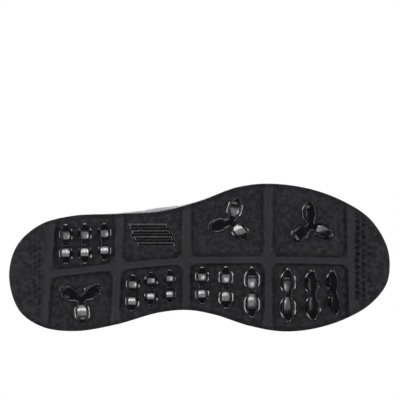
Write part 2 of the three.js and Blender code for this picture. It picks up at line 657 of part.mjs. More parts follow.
/** Sections of the tongue from its sewn base to its free top: the rib that a section follows, how
 *  far it is moved from it, and its width and its arch against it. */
function tongueSections() {
  const [front, back] = [3, 6.2];
  const base = throat(0).add(new THREE.Vector3(16, 0, -4));
  const sections = [
    { rib: front, move: base.clone().sub(throat(front)), width: 0.62, arch: 1 },
    { rib: front, move: throat(0).sub(throat(front)), width: 0.74, arch: 1 },
    { rib: front, move: throat(1.8).sub(throat(front)), width: 0.9, arch: 1 },
  ];
  for (let k = 0; k <= 6; k++)
    sections.push({ rib: front + ((back - front) * k) / 6, move: new THREE.Vector3(), width: 1, arch: 1 });
  for (const [x, y, z, width, arch] of TONGUE_TOP)
    sections.push({ rib: back, move: new THREE.Vector3(x, y, z), width, arch });
  return sections;
}

function addTongue() {
  const sections = tongueSections();
  const across = 10;
  const face = (depth) => (i, j) => {
    const { rib, move, width, arch } = sections[i];
    const s = (2 * j) / across - 1;
    const rise = 1.5 + s * (0.5 + TONGUE_LAP) * (Math.abs(s) > 0.7 ? 1 : 0.96);
    const thin = 1 - 0.5 * s ** 4;
    const point = instepPoint(rib, rise, -TONGUE_DROP - depth * TONGUE_THICKNESS * thin);
    const middle = throat(rib);
    const crown = instepPoint(rib, 1.5, -TONGUE_DROP).z;
    point.y = middle.y + (point.y - middle.y) * width;
    point.z = crown + (point.z - crown) * arch;
    return point.add(move);
  };
  add("tongue", slab(sections.length - 1, across, face(1), face(0)), KNIT);
}

/** Piece of the closure strap in one layer, from one rise to another over the instep. Its middle and
 *  half width are ribs; the half width is given along it. */
function strapPiece([inner, outer], from, to, rows, halfWidth) {
  const columns = 4;
  const middle = 4.66;
  const face = (distance) => (i, j) => {
    const rise = from + ((to - from) * j) / rows;
    return instepPoint(middle + halfWidth(rise) * ((2 * i) / columns - 1), rise, distance);
  };
  return slab(columns, rows, face(inner), face(outer));
}

function addStrap() {
  const [root, tip] = [0.6, 2.46];
  const width = (rise) => 0.52 + 0.1 * Math.sin(Math.PI * clamp01((rise - 0.7) / 1.6));
  const rounded = (rise) => width(rise) * (1 - 0.35 * clamp01((rise - tip + 0.06) / 0.06) ** 2);
  add("closure_strap", strapPiece(STRAP, root, tip, 20, rounded), SYNTHETIC);
  add("strap_hook_patch", strapPiece(STRAP_HOOK, 2.25, 2.41, 3, (r) => width(r) - 0.08), WEBBING);
  add("strap_loop_patch", strapPiece(OVERLAY, 2.24, 2.53, 4, (r) => width(r) + 0.02), CLOTH);
  add("strap_anchor", strapPiece(STRAP_ANCHOR, 0.45, 0.72, 4, (r) => width(r) + 0.06), SYNTHETIC);
}

// ---- Under the foot ----
function addFootbed() {
  const boardTop = (x) => bedZ(x) + GAP + BOARD_THICKNESS;
  add("strobel_board", loopSolid([
    soleLoop(FEATHER_INSET + GAP, (x) => bedZ(x) + GAP),
    soleLoop(FEATHER_INSET + GAP, boardTop),
  ]), BOARD);
  const edgeInset = FEATHER_INSET + INSOLE_PLAY;
  const [crest, flat] = [edgeInset + 1.2, edgeInset + 11];
  const cup = (x) => HEEL_CUP_HEIGHT * ease(clamp01((gradeX(10) - x) / gradeX(90)));
  const foamLow = (x) => boardTop(x) + GAP;
  const foamTop = (x) => foamLow(x) + INSOLE_THICKNESS;
  add("insole_foam", loopSolid([
    soleLoop(edgeInset + 1, foamLow),
    soleLoop(edgeInset, (x) => foamTop(x) + cup(x) - 0.5),
    soleLoop(crest, (x) => foamTop(x) + cup(x)),
    soleLoop(flat, foamTop),
  ]), INSOLE_FOAM);
  const coverLow = (x) => foamTop(x) + GAP;
  const coverTop = (x) => coverLow(x) + INSOLE_COVER_THICKNESS;
  add("insole_cover", loopSolid([
    soleLoop(flat, coverLow),
    soleLoop(crest, (x) => coverLow(x) + cup(x)),
    soleLoop(crest, (x) => coverTop(x) + cup(x)),
    soleLoop(flat, coverTop),
  ]), CLOTH);
}

addSoleUnit();
addFootbed();
addUpper();
addTongue();
addStrap();

export default shoe;
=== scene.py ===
"""Looks of a spikeless golf shoe for the right foot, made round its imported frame.

Meshes are worked out in millimetres, in the frame's axes: +X towards the toe, +Y towards the
inner side and +Z up, with the lugs standing on z = 0. They are scaled to metres when made.
"""

import logging
import math
from collections.abc import Callable, Mapping, Sequence
from dataclasses import dataclass, field
from enum import Enum
from typing import Any

import bmesh
import bpy
import numpy as np
from mathutils import Matrix
from mathutils.kdtree import KDTree


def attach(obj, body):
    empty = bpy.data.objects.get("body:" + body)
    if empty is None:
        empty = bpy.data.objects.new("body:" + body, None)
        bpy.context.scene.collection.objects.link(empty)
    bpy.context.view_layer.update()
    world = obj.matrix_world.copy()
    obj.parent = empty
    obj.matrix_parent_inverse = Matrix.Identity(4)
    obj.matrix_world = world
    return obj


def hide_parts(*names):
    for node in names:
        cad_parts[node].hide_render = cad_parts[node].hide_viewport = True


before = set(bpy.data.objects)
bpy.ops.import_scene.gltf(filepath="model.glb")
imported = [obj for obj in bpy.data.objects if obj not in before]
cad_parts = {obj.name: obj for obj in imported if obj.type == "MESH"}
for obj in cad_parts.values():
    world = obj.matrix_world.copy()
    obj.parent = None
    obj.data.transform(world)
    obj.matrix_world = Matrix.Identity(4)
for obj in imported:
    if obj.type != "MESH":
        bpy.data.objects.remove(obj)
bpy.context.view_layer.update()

LOG = logging.getLogger("golf_shoe")
MM = 0.001
Array = np.ndarray
Colour = tuple[float, float, float]

# ---- Plan patterns of the sole, in millimetres ----
OUTLINE = [
    (150, 6), (147.2, 21.5), (134, 37.3), (113, 49), (88, 56.3), (64, 58), (38, 53.4), (12, 45),
    (-9, 41.3), (-32, 43.2), (-66, 52.7), (-98, 57.8), (-124, 54.3), (-142, 41.5), (-150, 15),
    (-144, -9), (-126, -25.6), (-100, -32.8), (-66, -34.3), (-30, -36.5), (0, -44.6),
    (28, -54.9), (52, -58), (85, -54.3), (113, -44.2), (134, -30.5), (147.2, -10),
]
CROSS_RIDGES = [
    ((-113, -60), (-124.5, 75)), ((-62, -60), (-67, 75)), ((-10, -75), (-11, 75)),
    ((53.6, -75), (53.6, 75)), ((117.5, -75), (120.5, 75)),
]
LONG_RIDGE = [(-119, 13), (-64.7, 7.1), (-10.4, 2.2), (53.6, 1.6), (118.8, 3)]
TWIN_LUGS = {  # centre, length, width and turn
    "heel_outer_1": (-105.2, -10.6, 32.2, 11.2, 90),
    "heel_outer_2": (-90.3, -11.1, 32.6, 11.2, 90),
    "heel_outer_3": (-74.8, -12.4, 30.4, 11, 90),
    "waist_inner_1": (-52.9, 27.7, 29.8, 11.2, 92),
    "waist_inner_2": (-38.3, 24.3, 27, 10.8, 91),
    "waist_inner_3": (-23.5, 22.6, 27.2, 9.8, 90),
    "ball_inner_1": (1.7, 21.9, 30.2, 11.2, 90),
    "ball_inner_2": (20.4, 23.5, 34.2, 11.8, 90),
    "ball_inner_3": (40.9, 27.1, 41, 12.6, 90),
    "toe_inner_1": (69.2, 29.5, 43, 12.6, 90),
    "toe_inner_2": (88.5, 29.5, 40.2, 12.6, 88),
    "toe_inner_3": (105.3, 27.4, 35.2, 11.4, 85),
}
TREFOIL_LUGS = {  # centre and turn of the first petal
    "heel_inner": (-93.1, 32.6, -34),
    "ball_outer": (24.4, -28.1, -74),
    "toe_outer": (87.3, -25, -95),
}
# The upper's ribs from the toe round the inner side: top point, upper handle, lower handle.
RIBS = [
    ((60, 2, 67), (40, 0, -5), (4, 21)), ((58.5, 5.5, 67.5), (32, 14, -6), (4, 20)),
    ((54, 8.5, 69), (20, 21, -7), (4, 19)), ((44, 11, 72), (6, 23, -7), (4, 18)),
    ((25, 12.5, 78), (0, 21, -8), (4, 18)), ((-2, 14, 88), (-2, 16, -11), (4, 20)),
    ((-30, 18, 100), (-4, 14, -17), (4, 22)), ((-62, 34, 96), (0, 7, -22), (4, 22)),
    ((-92, 42, 84), (0, 4, -18), (4, 20)), ((-126, 34, 92), (-3, 3, -22), (4, 22)),
    ((-139, 13.5, 104), (-4, 0, -28), (4, 24)), ((-124, -7.5, 92), (-3, -3, -22), (4, 22)),
    ((-90, -18, 84), (0, -4, -18), (4, 20)), ((-60, -16, 96), (0, -12, -22), (8, 22)),
    ((-30, -7, 100), (-4, -37, -19), (9.2, 23)), ((-2, -6, 88), (-2, -29, -13), (7.6, 20)),
    ((25, -7, 78), (0, -21, -8), (4, 18)), ((44, -7.5, 72), (6, -23, -7), (4, 18)),
    ((54, -5, 69), (20, -21, -7), (4, 19)), ((58.5, -1.5, 67.5), (32, -14, -6), (4, 20)),
]


def ease(share: Array | float) -> Array:
    """Smooth step from 0 to 1."""
    s = np.clip(share, 0, 1)
    return s * s * (3 - 2 * s)


def unit(vectors: Array) -> Array:
    """The vectors at length 1."""
    return vectors / np.maximum(np.linalg.norm(vectors, axis=-1, keepdims=True), 1e-9)


def bezier(a: Array, b: Array, c: Array, d: Array, t: Array) -> Array:
    """Points of cubic curves.

    Args:
        a: starts.
        b: first handles.
        c: second handles.
        d: ends.
        t: shares along them.

    Returns:
        The points at those shares.
    """
    t = np.asarray(t, float)[..., None]
    s = 1 - t
    return s**3 * a + 3 * s * s * t * b + 3 * s * t * t * c + t**3 * d


class Spline:
    """Closed smooth curve through points."""

    def __init__(self, points: Sequence, centripetal: bool = False) -> None:
        """Takes the points, as rows of three, and how the curve is spaced."""
        self.points = np.array(points, float)
        self.centripetal = centripetal

    def at(self, t: Array) -> Array:
        """Points at shares of the point count.

        Args:
            t: shares, of any shape.

        Returns:
            Points, with one more axis of three.
        """
        n = len(self.points)
        p = np.asarray(t, float) * n
        base = np.floor(p).astype(int)
        w = (p - base)[..., None]
        a, b, c, d = (self.points[(base + k) % n] for k in (-1, 0, 1, 2))
        if self.centripetal:
            spans = ((a, b), (b, c), (c, d))
            f, g, h = (((v - u) ** 2).sum(-1, keepdims=True) ** 0.25 for u, v in spans)
            m0 = ((b - a) / f - (c - a) / (f + g) + (c - b) / g) * g
            m1 = ((c - b) / g - (d - b) / (g + h) + (d - c) / h) * g
        else:
            m0, m1 = 0.5 * (c - a), 0.5 * (d - b)
        return b + w * (m0 + w * ((3 * c - 3 * b - 2 * m0 - m1) + w * (2 * b - 2 * c + m0 + m1)))


@dataclass(frozen=True)
class ShoeSizes:
    """Driving sizes that the whole shoe shares, in millimetres."""

    lug_height: float = 4.4
    ridge_height: float = 1.5
    ridge_width: float = 5.4
    pad_corner: float = 6.5
    outsole: float = 3.4
    toe_spring: float = 15
    toe_spring_start: float = 48
    heel_lift: float = 3
    heel_lift_run: float = 34
    half_length: float = 150
    heel_stack: float = 27
    fore_stack: float = 17
    heel_stack_x: float = -100
    fore_stack_x: float = 62
    rim_depth: float = 6.5
    gap: float = 0.3
    flare: float = 2.4
    flare_x: float = -36
    flare_run: float = 23
    feather_inset: float = 9.6
    overlay_top: float = 4.6


class Last:
    """The form that the shoe is made on: heights along it, loops round it and its wall."""

    ribs = 20
    rib_step = 0.02  # steps that slopes are measured over
    rise_step = 0.004
    over_step = 0.01
    level_foot = 0.22  # rise up to which the wall's outward direction turns from level

    def __init__(self, sizes: ShoeSizes) -> None:
        """Lays out the outline and the ribs.

        Args:
            sizes: the shared sizes.
        """
        self.size = sizes
        self.outline = Spline([(x, y, 0) for x, y in OUTLINE], centripetal=True)
        self.shares = np.linspace(0, 1, 1201)
        steps = np.linalg.norm(np.diff(self.outline.at(self.shares), axis=0), axis=1)
        self.lengths = np.concatenate([[0], np.cumsum(steps)])
        self.top = Spline([r[0] for r in RIBS])
        self.upper_handle = Spline([r[1] for r in RIBS])
        self.lower_handle = Spline([(*r[2], 0) for r in RIBS])

    # Heights along the shoe.
    def floor(self, x: Array) -> Array:
        """Height of the pads' floor.

        Args:
            x: places along the shoe.

        Returns:
            Heights there.
        """
        s = self.size
        toe = np.maximum(0, (x - s.toe_spring_start) / (s.half_length - s.toe_spring_start))
        heel = np.maximum(0, (-x - (s.half_length - s.heel_lift_run)) / s.heel_lift_run)
        return s.lug_height + s.toe_spring * toe**2 + s.heel_lift * heel**2

    def outsole_top(self, x: Array) -> Array:
        """Height of the outsole's upper face."""
        return self.floor(x) + self.size.outsole

    def rim(self, x: Array) -> Array:
        """Height of the midsole's rim.

        Args:
            x: places along the shoe.

        Returns:
            Heights there.
        """
        s = self.size
        share = ease((x - s.heel_stack_x) / (s.fore_stack_x - s.heel_stack_x))
        return self.outsole_top(x) + s.gap + s.heel_stack + (s.fore_stack - s.heel_stack) * share

    def bed(self, x: Array) -> Array:
        """Height of the bed inside the rim."""
        return self.rim(x) - self.size.rim_depth

    # Loops round the sole.
    def edge(self, t: Array) -> tuple[Array, Array]:
        """The outsole's outline.

        Args:
            t: shares of the way round, from the toe by the inner side.

        Returns:
            Points and outward directions.
        """
        share = np.mod(t, 1)
        u = np.interp(share * self.lengths[-1], self.lengths, self.shares)
        ahead = self.outline.at(np.minimum(u + 1e-4, 1))
        along = unit(ahead - self.outline.at(np.maximum(u - 1e-4, 0)))
        out = np.stack([along[..., 1], -along[..., 0], np.zeros_like(u)], -1)
        return self.outline.at(u), out

    def flare(self, point: Array) -> Array:
        """Extra reach of the midsole at the outer waist.

        Args:
            point: points of the outline.

        Returns:
            How much further out the midsole goes there.
        """
        s = self.size
        reach = s.flare * np.exp(-(((point[..., 0] - s.flare_x) / s.flare_run) ** 2))
        return np.where(point[..., 1] < 0, reach, 0)

    # The wall of the upper. A rib counts round from the toe, a rise runs from foot to top.
    def wall(self, rib: Array, rise: Array) -> Array:
        """Points of the inside wall.

        Args:
            rib: ribs, counted round from the toe.
            rise: 0 at the foot to 1 at the top.

        Returns:
            The points.
        """
        rib, rise = np.broadcast_arrays(np.asarray(rib, float), np.asarray(rise, float))
        t = np.mod(rib / self.ribs, 1)
        point, out = self.edge(t)
        foot = point - out * self.size.feather_inset
        outermost = foot + out * self.size.overlay_top
        foot[..., 2] = self.bed(outermost[..., 0]) + self.size.gap
        lower = self.lower_handle.at(t)
        low = foot + out * lower[..., :1]
        low[..., 2] += lower[..., 1]
        top = self.top.at(t)
        return bezier(foot, low, top + self.upper_handle.at(t), top, rise)

    def outward(self, rib: Array, rise: Array) -> Array:
        """Outward directions of the wall, level at its foot.

        Args:
            rib: ribs, counted round from the toe.
            rise: 0 at the foot to 1 at the top.

        Returns:
            The directions.
        """
        low = np.maximum(0, np.asarray(rise) - self.rise_step)
        high = np.minimum(1, np.asarray(rise) + self.rise_step)
        along = self.wall(rib + self.rib_step, rise) - self.wall(rib - self.rib_step, rise)
        normal = unit(np.cross(along, self.wall(rib, high) - self.wall(rib, low)))
        level = unit(normal * (1, 1, 0))
        return unit(level + (normal - level) * ease(np.asarray(rise) / self.level_foot)[..., None])

    def shell(self, rib: Array, rise: Array, distance: Array | float) -> Array:
        """Points at a distance outward from the wall.

        Args:
            rib: ribs, counted round from the toe.
            rise: 0 at the foot to 1 at the top.
            distance: how far out.

        Returns:
            The points.
        """
        rib, rise, distance = np.broadcast_arrays(
            *(np.asarray(v, float) for v in (rib, rise, distance)))
        return self.wall(rib, rise) + self.outward(rib, rise) * distance[..., None]

    def instep(self, rib: Array, rise: Array) -> Array:
        """The wall carried across the throat.

        Args:
            rib: ribs on the inner side.
            rise: 0 to 1 up the inner side, 1 to 2 across, 2 to 3 down the outer side.

        Returns:
            Points.
        """
        rib, rise = np.broadcast_arrays(np.asarray(rib, float), np.asarray(rise, float))
        across = self.ribs - rib
        start, stop = self.wall(rib, 1.0), self.wall(across, 1.0)
        reach = 0.35 * np.linalg.norm(stop - start, axis=-1, keepdims=True)
        handles = (self.upper_handle.at(np.mod(r / self.ribs, 1)) for r in (rib, across))
        low, high = (unit(handle) * -reach for handle in handles)
        middle = bezier(start, start + low, stop + high, stop, np.clip(rise - 1, 0, 1))
        near, far = self.wall(rib, np.clip(rise, 0, 1)), self.wall(across, np.clip(3 - rise, 0, 1))
        turn = rise[..., None]
        return np.where(turn <= 1, near, np.where(turn >= 2, far, middle))

    def over(self, rib: Array, rise: Array, distance: Array | float) -> Array:
        """Points at a distance outward from the wall carried across the throat.

        Args:
            rib: ribs on the inner side.
            rise: as for the instep.
            distance: how far out.

        Returns:
            The points.
        """
        rib, rise, distance = np.broadcast_arrays(
            *(np.asarray(v, float) for v in (rib, rise, distance)))
        along = self.instep(rib + self.rib_step, rise) - self.instep(rib - self.rib_step, rise)
        up = self.instep(rib, rise + self.over_step) - self.instep(rib, rise - self.over_step)
        return self.instep(rib, rise) + unit(np.cross(along, up)) * distance[..., None]

    def throat(self, rib: float) -> Array:
        """Middle of the throat at a rib."""
        return (self.wall(rib, 1.0) + self.wall(self.ribs - rib, 1.0)) / 2


SHARED = ShoeSizes()
LAST = Last(SHARED)


# ---- Shader maths ----
class Value:
    """A shader socket that Python expressions add maths to."""

    def __init__(self, recipe: "Recipe", socket: bpy.types.NodeSocket) -> None:
        """Wraps a socket of a recipe's tree."""
        self.recipe = recipe
        self.socket = socket

    def maths(self, operation: str, *others: "Value | float", first: float | None = None) -> "Value":
        """Adds a Math node.

        Args:
            operation: the node's operation.
            others: its further inputs.
            first: a number that goes before this value.

        Returns:
            The node's result.
        """
        inputs = [self, *others] if first is None else [first, self]
        return self.recipe.value("ShaderNodeMath", {"operation": operation}, dict(enumerate(inputs)))

    def __add__(self, other: "Value | float") -> "Value":
        """Sum."""
        return self.maths("ADD", other)

    __radd__ = __add__

    def __sub__(self, other: "Value | float") -> "Value":
        """Difference."""
        return self.maths("SUBTRACT", other)

    def __rsub__(self, other: float) -> "Value":
        """Difference from a number."""
        return self.maths("SUBTRACT", first=other)

    def __mul__(self, other: "Value | float") -> "Value":
        """Product."""
        return self.maths("MULTIPLY", other)

    __rmul__ = __mul__

    def __abs__(self) -> "Value":
        """Size without sign."""
        return self.maths("ABSOLUTE")

    def wave(self, length: float, phase: "Value | None" = None) -> "Value":
        """Sine wave of a length along this value.

        Args:
            length: from crest to crest.
            phase: what shifts the crests.

        Returns:
            The wave, from -1 to 1.
        """
        angle = self * (2 * math.pi / length)
        return (angle if phase is None else angle + phase).maths("SINE")

    def least(self, other: "Value | float") -> "Value":
        """The smaller of two."""
        return self.maths("MINIMUM", other)

    def most(self, other: "Value | float") -> "Value":
        """The larger of two."""
        return self.maths("MAXIMUM", other)

    def fit(self, low: float, high: float, to_low: float = 0, to_high: float = 1) -> "Value":
        """Smooth step between two levels.

        Args:
            low: level that gives to_low.
            high: level that gives to_high.
            to_low: result at low.
            to_high: result at high.

        Returns:
            The result, held inside its range.
        """
        return self.recipe.value(
            "ShaderNodeMapRange",
            {"interpolation_type": "SMOOTHSTEP"},
            {"Value": self, "From Min": low, "From Max": high, "To Min": to_low, "To Max": to_high},
        )


class Recipe:
    """A node tree under construction, of a material or of the surroundings."""

    def __init__(self, owner: bpy.types.Material | bpy.types.World) -> None:
        """Empties the owner's node tree.

        Args:
            owner: the new material or world.
        """
        self.owner = owner
        owner.use_nodes = True
        self.tree = owner.node_tree
        self.tree.nodes.clear()

    def node(self, kind: str, settings: Mapping[str, Any], inputs: Mapping[Any, Any]) -> bpy.types.Node:
        """Adds a node.

        Args:
            kind: the node's type.
            settings: its settings, set before its sockets.
            inputs: values or links of its sockets, by name or place.

        Returns:
            The node.
        """
        made = self.tree.nodes.new(kind)
        for key, setting in settings.items():
            setattr(made, key, setting)
        for key, given in inputs.items():
            if isinstance(given, Value):
                self.tree.links.new(given.socket, made.inputs[key])
            else:
                made.inputs[key].default_value = given
        return made

    def value(
        self, kind: str, settings: Mapping[str, Any], inputs: Mapping[Any, Any], out: int | str = 0
    ) -> Value:
        """Adds a node and wraps one of its outputs."""
        return Value(self, self.node(kind, settings, inputs).outputs[out])

    def place(self) -> Value:
        """The point's place on the piece, in metres."""
        return self.value("ShaderNodeTexCoord", {}, {}, "Object")

    def mark(self, name: str) -> Value:
        """A vector that the mesh carries."""
        return self.value("ShaderNodeAttribute", {"attribute_name": name}, {}, "Vector")

    def split(self, vector: Value) -> tuple[Value, Value, Value]:
        """A vector's three numbers."""
        made = self.node("ShaderNodeSeparateXYZ", {}, {0: vector})
        return tuple(Value(self, s) for s in made.outputs)

    def join(self, *numbers: Value | float) -> Value:
        """A vector of three numbers."""
        return self.value("ShaderNodeCombineXYZ", {}, dict(enumerate(numbers)))

    def noise(self, vector: Value, scale: float, detail: float = 3) -> Value:
        """Soft noise from 0 to 1."""
        return self.value("ShaderNodeTexNoise", {}, {"Vector": vector, "Scale": scale, "Detail": detail})

    def cells(self, vector: Value, scale: float, feature: str = "F1") -> Value:
        """Distance in a pattern of cells."""
        inputs = {"Vector": vector, "Scale": scale}
        return self.value("ShaderNodeTexVoronoi", {"feature": feature}, inputs, "Distance")

    def blend(self, share: Value | float, one: Value | Colour, two: Value | Colour) -> Value:
        """A colour between two."""
        first, second = (c if isinstance(c, Value) else (*c, 1) for c in (one, two))
        return self.value("ShaderNodeMix", {"data_type": "RGBA"}, {0: share, 6: first, 7: second}, 2)

    def finish(self, sockets: Mapping[str, Any], height: Value, depth: float) -> bpy.types.Material:
        """Closes the material with a Principled shader.

        Args:
            sockets: the shader's sockets.
            height: bump height from 0 to 1.
            depth: what a height of 1 stands for, in metres.

        Returns:
            The material.
        """
        given = dict(sockets)
        bump = {"Strength": 1.0, "Distance": depth, "Height": height}
        given["Normal"] = self.value("ShaderNodeBump", {}, bump)
        shader = self.value("ShaderNodeBsdfPrincipled", {}, given)
        self.node("ShaderNodeOutputMaterial", {}, {"Surface": shader})
        return self.owner


class Grain(Enum):
    """How a surface is made up close."""

    MOULDED = "moulded"
    POLISHED = "polished"
    STIPPLED = "stippled"
    KNITTED = "knitted"
    HIDE = "hide"
    FILM = "film"
    WEBBED = "webbed"
    SPACER = "spacer"
    HOOKS = "hooks"
    LOOPS = "loops"
    FIBRE = "fibre"
    CELLULAR = "cellular"
    TWISTED = "twisted"


@dataclass(frozen=True)
class Finish:
    """A finish: its colours, gloss and grain."""

    name: str
    slot: str
    grain: Grain
    colour: Colour
    second: Colour
    rough: tuple[float, float]
    depth: float
    coat: float = 0
    coat_rough: float = 0.1
    sheen: float = 0
    sheen_rough: float = 0.5
    ior: float = 1.5
    coat_wear: float = 0.7
    drift: float = 0.3

    def material(self) -> bpy.types.Material:
        """The finish as a material, made once."""
        return bpy.data.materials.get(self.title) or self.make()

    @property
    def title(self) -> str:
        """The material's name, which no material of the frame has."""
        return f"{self.name}_finish"

    def make(self) -> bpy.types.Material:
        """Builds the material.

        Returns:
            The material.
        """
        recipe = Recipe(bpy.data.materials.new(self.title))
        height, tone, worn = getattr(self, f"grain_{self.grain.value}")(recipe)
        cloud = recipe.noise(recipe.place(), 38, 2).fit(0.3, 0.7)
        colour = recipe.blend(tone, self.colour, self.second)
        colour = recipe.blend(cloud * self.drift, colour, recipe.blend(0.5, colour, self.second))
        sockets = {
            "Base Color": colour,
            "Roughness": worn.fit(0, 1, *self.rough),
            "Coat Weight": (1 - worn * self.coat_wear) * self.coat if self.coat else 0.0,
            "Coat Roughness": self.coat_rough,
            "Sheen Weight": self.sheen,
            "Sheen Roughness": self.sheen_rough,
            "IOR": self.ior,
        }
        return recipe.finish(sockets, height, self.depth)

    def grain_moulded(self, r: Recipe) -> tuple[Value, Value, Value]:
        """Fine moulded rubber, with painted highlight on its ridges and star tops, a lighter bead round its
        pads (partly edge wear, partly painted highlight), painted shade in its notches, inside its pad
        walls and at its stars' feet, and darker near its outline and on its side wall.

        Args:
            r: the recipe under construction.

        Returns:
            Bump height, tone between the two colours, and wear.
        """
        # The mark's channels: painted highlight on ridges and star tops, the pads' bead (partly edge wear,
        # partly painted highlight), and painted shade.
        ridge, rim, low = r.split(r.mark("relief_and_painted_shading"))
        fine = r.noise(r.place(), 2600, 4)
        cloud = r.noise(r.place(), 160, 3).fit(0.3, 0.7)
        mottle = r.noise(r.place(), 230, 3).fit(0.40, 0.62)
        # Ridges, star tops and bead are painted lighter as highlight; low, the painted shade, is taken off.
        raised = ridge * 0.5 + rim * 0.2
        tone = raised + cloud * 0.08 + fine * 0.12 + mottle * (1 - ridge) * 0.46 - low * 0.4
        return fine * 0.4 + mottle * 0.6, tone.most(0).least(1), cloud

    def grain_polished(self, r: Recipe) -> tuple[Value, Value, Value]:
        """Polished moulding with faint flow marks.

        Args:
            r: the recipe under construction.

        Returns:
            Bump height, tone between the two colours, and wear.
        """
        flow = r.noise(r.place(), 210, 2)
        x, y, z = r.split(r.place())
        streak = r.noise(r.join(x, y * 0.12, z), 950, 2).fit(0.36, 0.66)
        return flow, flow.fit(0.4, 0.8), streak

    def grain_stippled(self, r: Recipe) -> tuple[Value, Value, Value]:
        """Foam skin with a fine stipple, faint handling marks and painted shade in its grooves.

        Args:
            r: the recipe under construction.

        Returns:
            Bump height, tone between the two colours, and wear.
        """
        dots = r.cells(r.place(), 1100)
        smear = r.noise(r.place(), 90, 4).fit(0.45, 0.75)
        # low is painted shade: the foam is darker along its sculpted grooves.
        low = r.split(r.mark("relief_and_painted_shading"))[2]
        return dots.fit(0.1, 0.6), (smear * 0.35 + low * 0.8).least(1), smear

    def grain_knitted(self, r: Recipe) -> tuple[Value, Value, Value]:
        """Engineered knit: ribs of loops with rows of small holes.

        Args:
            r: the recipe under construction.

        Returns:
            Bump height, tone between the two colours, and wear.
        """
        u, v, _ = r.split(r.mark("weave"))
        column = abs(u.wave(2.4))
        loop = v.wave(1.7, column * 1.9)
        yarn = (column * 0.65 + loop * 0.35).fit(-0.35, 0.9)
        hole = (u.wave(7.2) * v.wave(6.2, u.wave(14.4) * 1.2)).fit(0.62, 0.88)
        heather = r.noise(r.mark("weave"), 0.9, 2).fit(0.42, 0.62)
        return yarn - hole * 0.9, (yarn * 0.55 + heather * 0.45 - hole * 0.8).most(0), heather

    def grain_hide(self, r: Recipe) -> tuple[Value, Value, Value]:
        """Pebbled synthetic leather.

        Args:
            r: the recipe under construction.

        Returns:
            Bump height, tone between the two colours, and wear.
        """
        pebble = r.cells(r.place(), 620, "SMOOTH_F1")
        crease = r.cells(r.place(), 620, "DISTANCE_TO_EDGE").fit(0.0, 0.16)
        rubbed = r.noise(r.place(), 70, 3).fit(0.4, 0.75)
        return crease * 0.8 + (1 - pebble) * 0.3, rubbed * 0.35, 1 - crease * 0.5

    def grain_film(self, r: Recipe) -> tuple[Value, Value, Value]:
        """Welded film with the knit's ribs showing through.

        Args:
            r: the recipe under construction.

        Returns:
            Bump height, tone between the two colours, and wear.
        """
        u, v, edge = r.split(r.mark("weave"))
        ghost = abs(u.wave(4.8))
        weld = edge.fit(0.6, 2.2)
        dots = u.wave(4.2) * v.wave(4.2)
        raised = dots.fit(0.55, 0.8) * weld
        return ghost * 0.25 * weld + raised, (1 - weld) * 0.5 + raised * 0.35, ghost * weld

    def grain_webbed(self, r: Recipe) -> tuple[Value, Value, Value]:
        """Woven tape with a rib across.

        Args:
            r: the recipe under construction.

        Returns:
            Bump height, tone between the two colours, and wear.
        """
        u, v, _ = r.split(r.mark("weave"))
        rib = v.wave(1.3)
        warp = u.wave(1.0, rib * 1.2)
        yarn = (rib * 0.6 + warp * 0.4).fit(-0.8, 0.8)
        return yarn, yarn * 0.7, 1 - yarn

    def grain_spacer(self, r: Recipe) -> tuple[Value, Value, Value]:
        """Lining mesh of small hexagonal holes.

        Args:
            r: the recipe under construction.

        Returns:
            Bump height, tone between the two colours, and wear.
        """
        hole = r.cells(r.place(), 420).fit(0.22, 0.4)
        nap = r.noise(r.place(), 3000, 2)
        return hole * 0.8 + nap * 0.2, hole * 0.6, nap

    def grain_hooks(self, r: Recipe) -> tuple[Value, Value, Value]:
        """Rows of stiff hooks.

        Args:
            r: the recipe under construction.

        Returns:
            Bump height, tone between the two colours, and wear.
        """
        u, v, _ = r.split(r.mark("weave"))
        hook = (u.wave(1.2) * v.wave(1.6)).fit(0.1, 0.7)
        return hook, hook * 0.8, 1 - hook

    def grain_loops(self, r: Recipe) -> tuple[Value, Value, Value]:
        """Brushed pile of loops."""
        pile = r.noise(r.place(), 1500, 5)
        return pile, pile.fit(0.35, 0.7), pile

    def grain_fibre(self, r: Recipe) -> tuple[Value, Value, Value]:
        """Pressed fibre with flecks."""
        fleck = r.noise(r.place(), 700, 5)
        return fleck, fleck.fit(0.4, 0.65), fleck

    def grain_cellular(self, r: Recipe) -> tuple[Value, Value, Value]:
        """Open foam with fine pores."""
        pore = r.cells(r.place(), 900).fit(0.15, 0.5)
        return pore, pore * 0.7, r.noise(r.place(), 60, 2)

    def grain_twisted(self, r: Recipe) -> tuple[Value, Value, Value]:
        """Twisted thread."""
        twist = r.split(r.mark("weave"))[0].wave(0.55).fit(-1, 1)
        return twist, twist, twist


def grey(level: float, blue: float = 1.0) -> Colour:
    """A grey of that reflectance, cooler where blue is above 1."""
    return (level, level * 0.99, level * blue)


RUBBER = Finish(
    "outsole_rubber", "outsole_rubber", Grain.MOULDED, grey(0.002, 1.3), grey(0.030, 1.28),
    (0.62, 0.8), 2.2e-4, ior=1.33)
GLOSS = Finish(
    "gloss_lug", "gloss_lug", Grain.POLISHED, grey(0.003, 1.3), grey(0.006, 1.3),
    (0.10, 0.17), 5e-5, coat=1.0, coat_rough=0.09)
FOAM = Finish(
    "midsole_foam", "midsole_foam", Grain.STIPPLED, grey(0.27, 1.05), grey(0.17, 1.05),
    (0.5, 0.7), 5e-5)
KNIT = Finish(
    "upper_knit", "upper_knit", Grain.KNITTED, grey(0.006, 1.15), grey(0.06, 1.12),
    (0.75, 0.95), 7e-4, sheen=0.25)
HIDE = Finish(
    "synthetic_leather", "synthetic_leather", Grain.HIDE, grey(0.012, 1.1), grey(0.024, 1.08),
    (0.36, 0.52), 1.1e-4, coat=0.15, coat_rough=0.3)
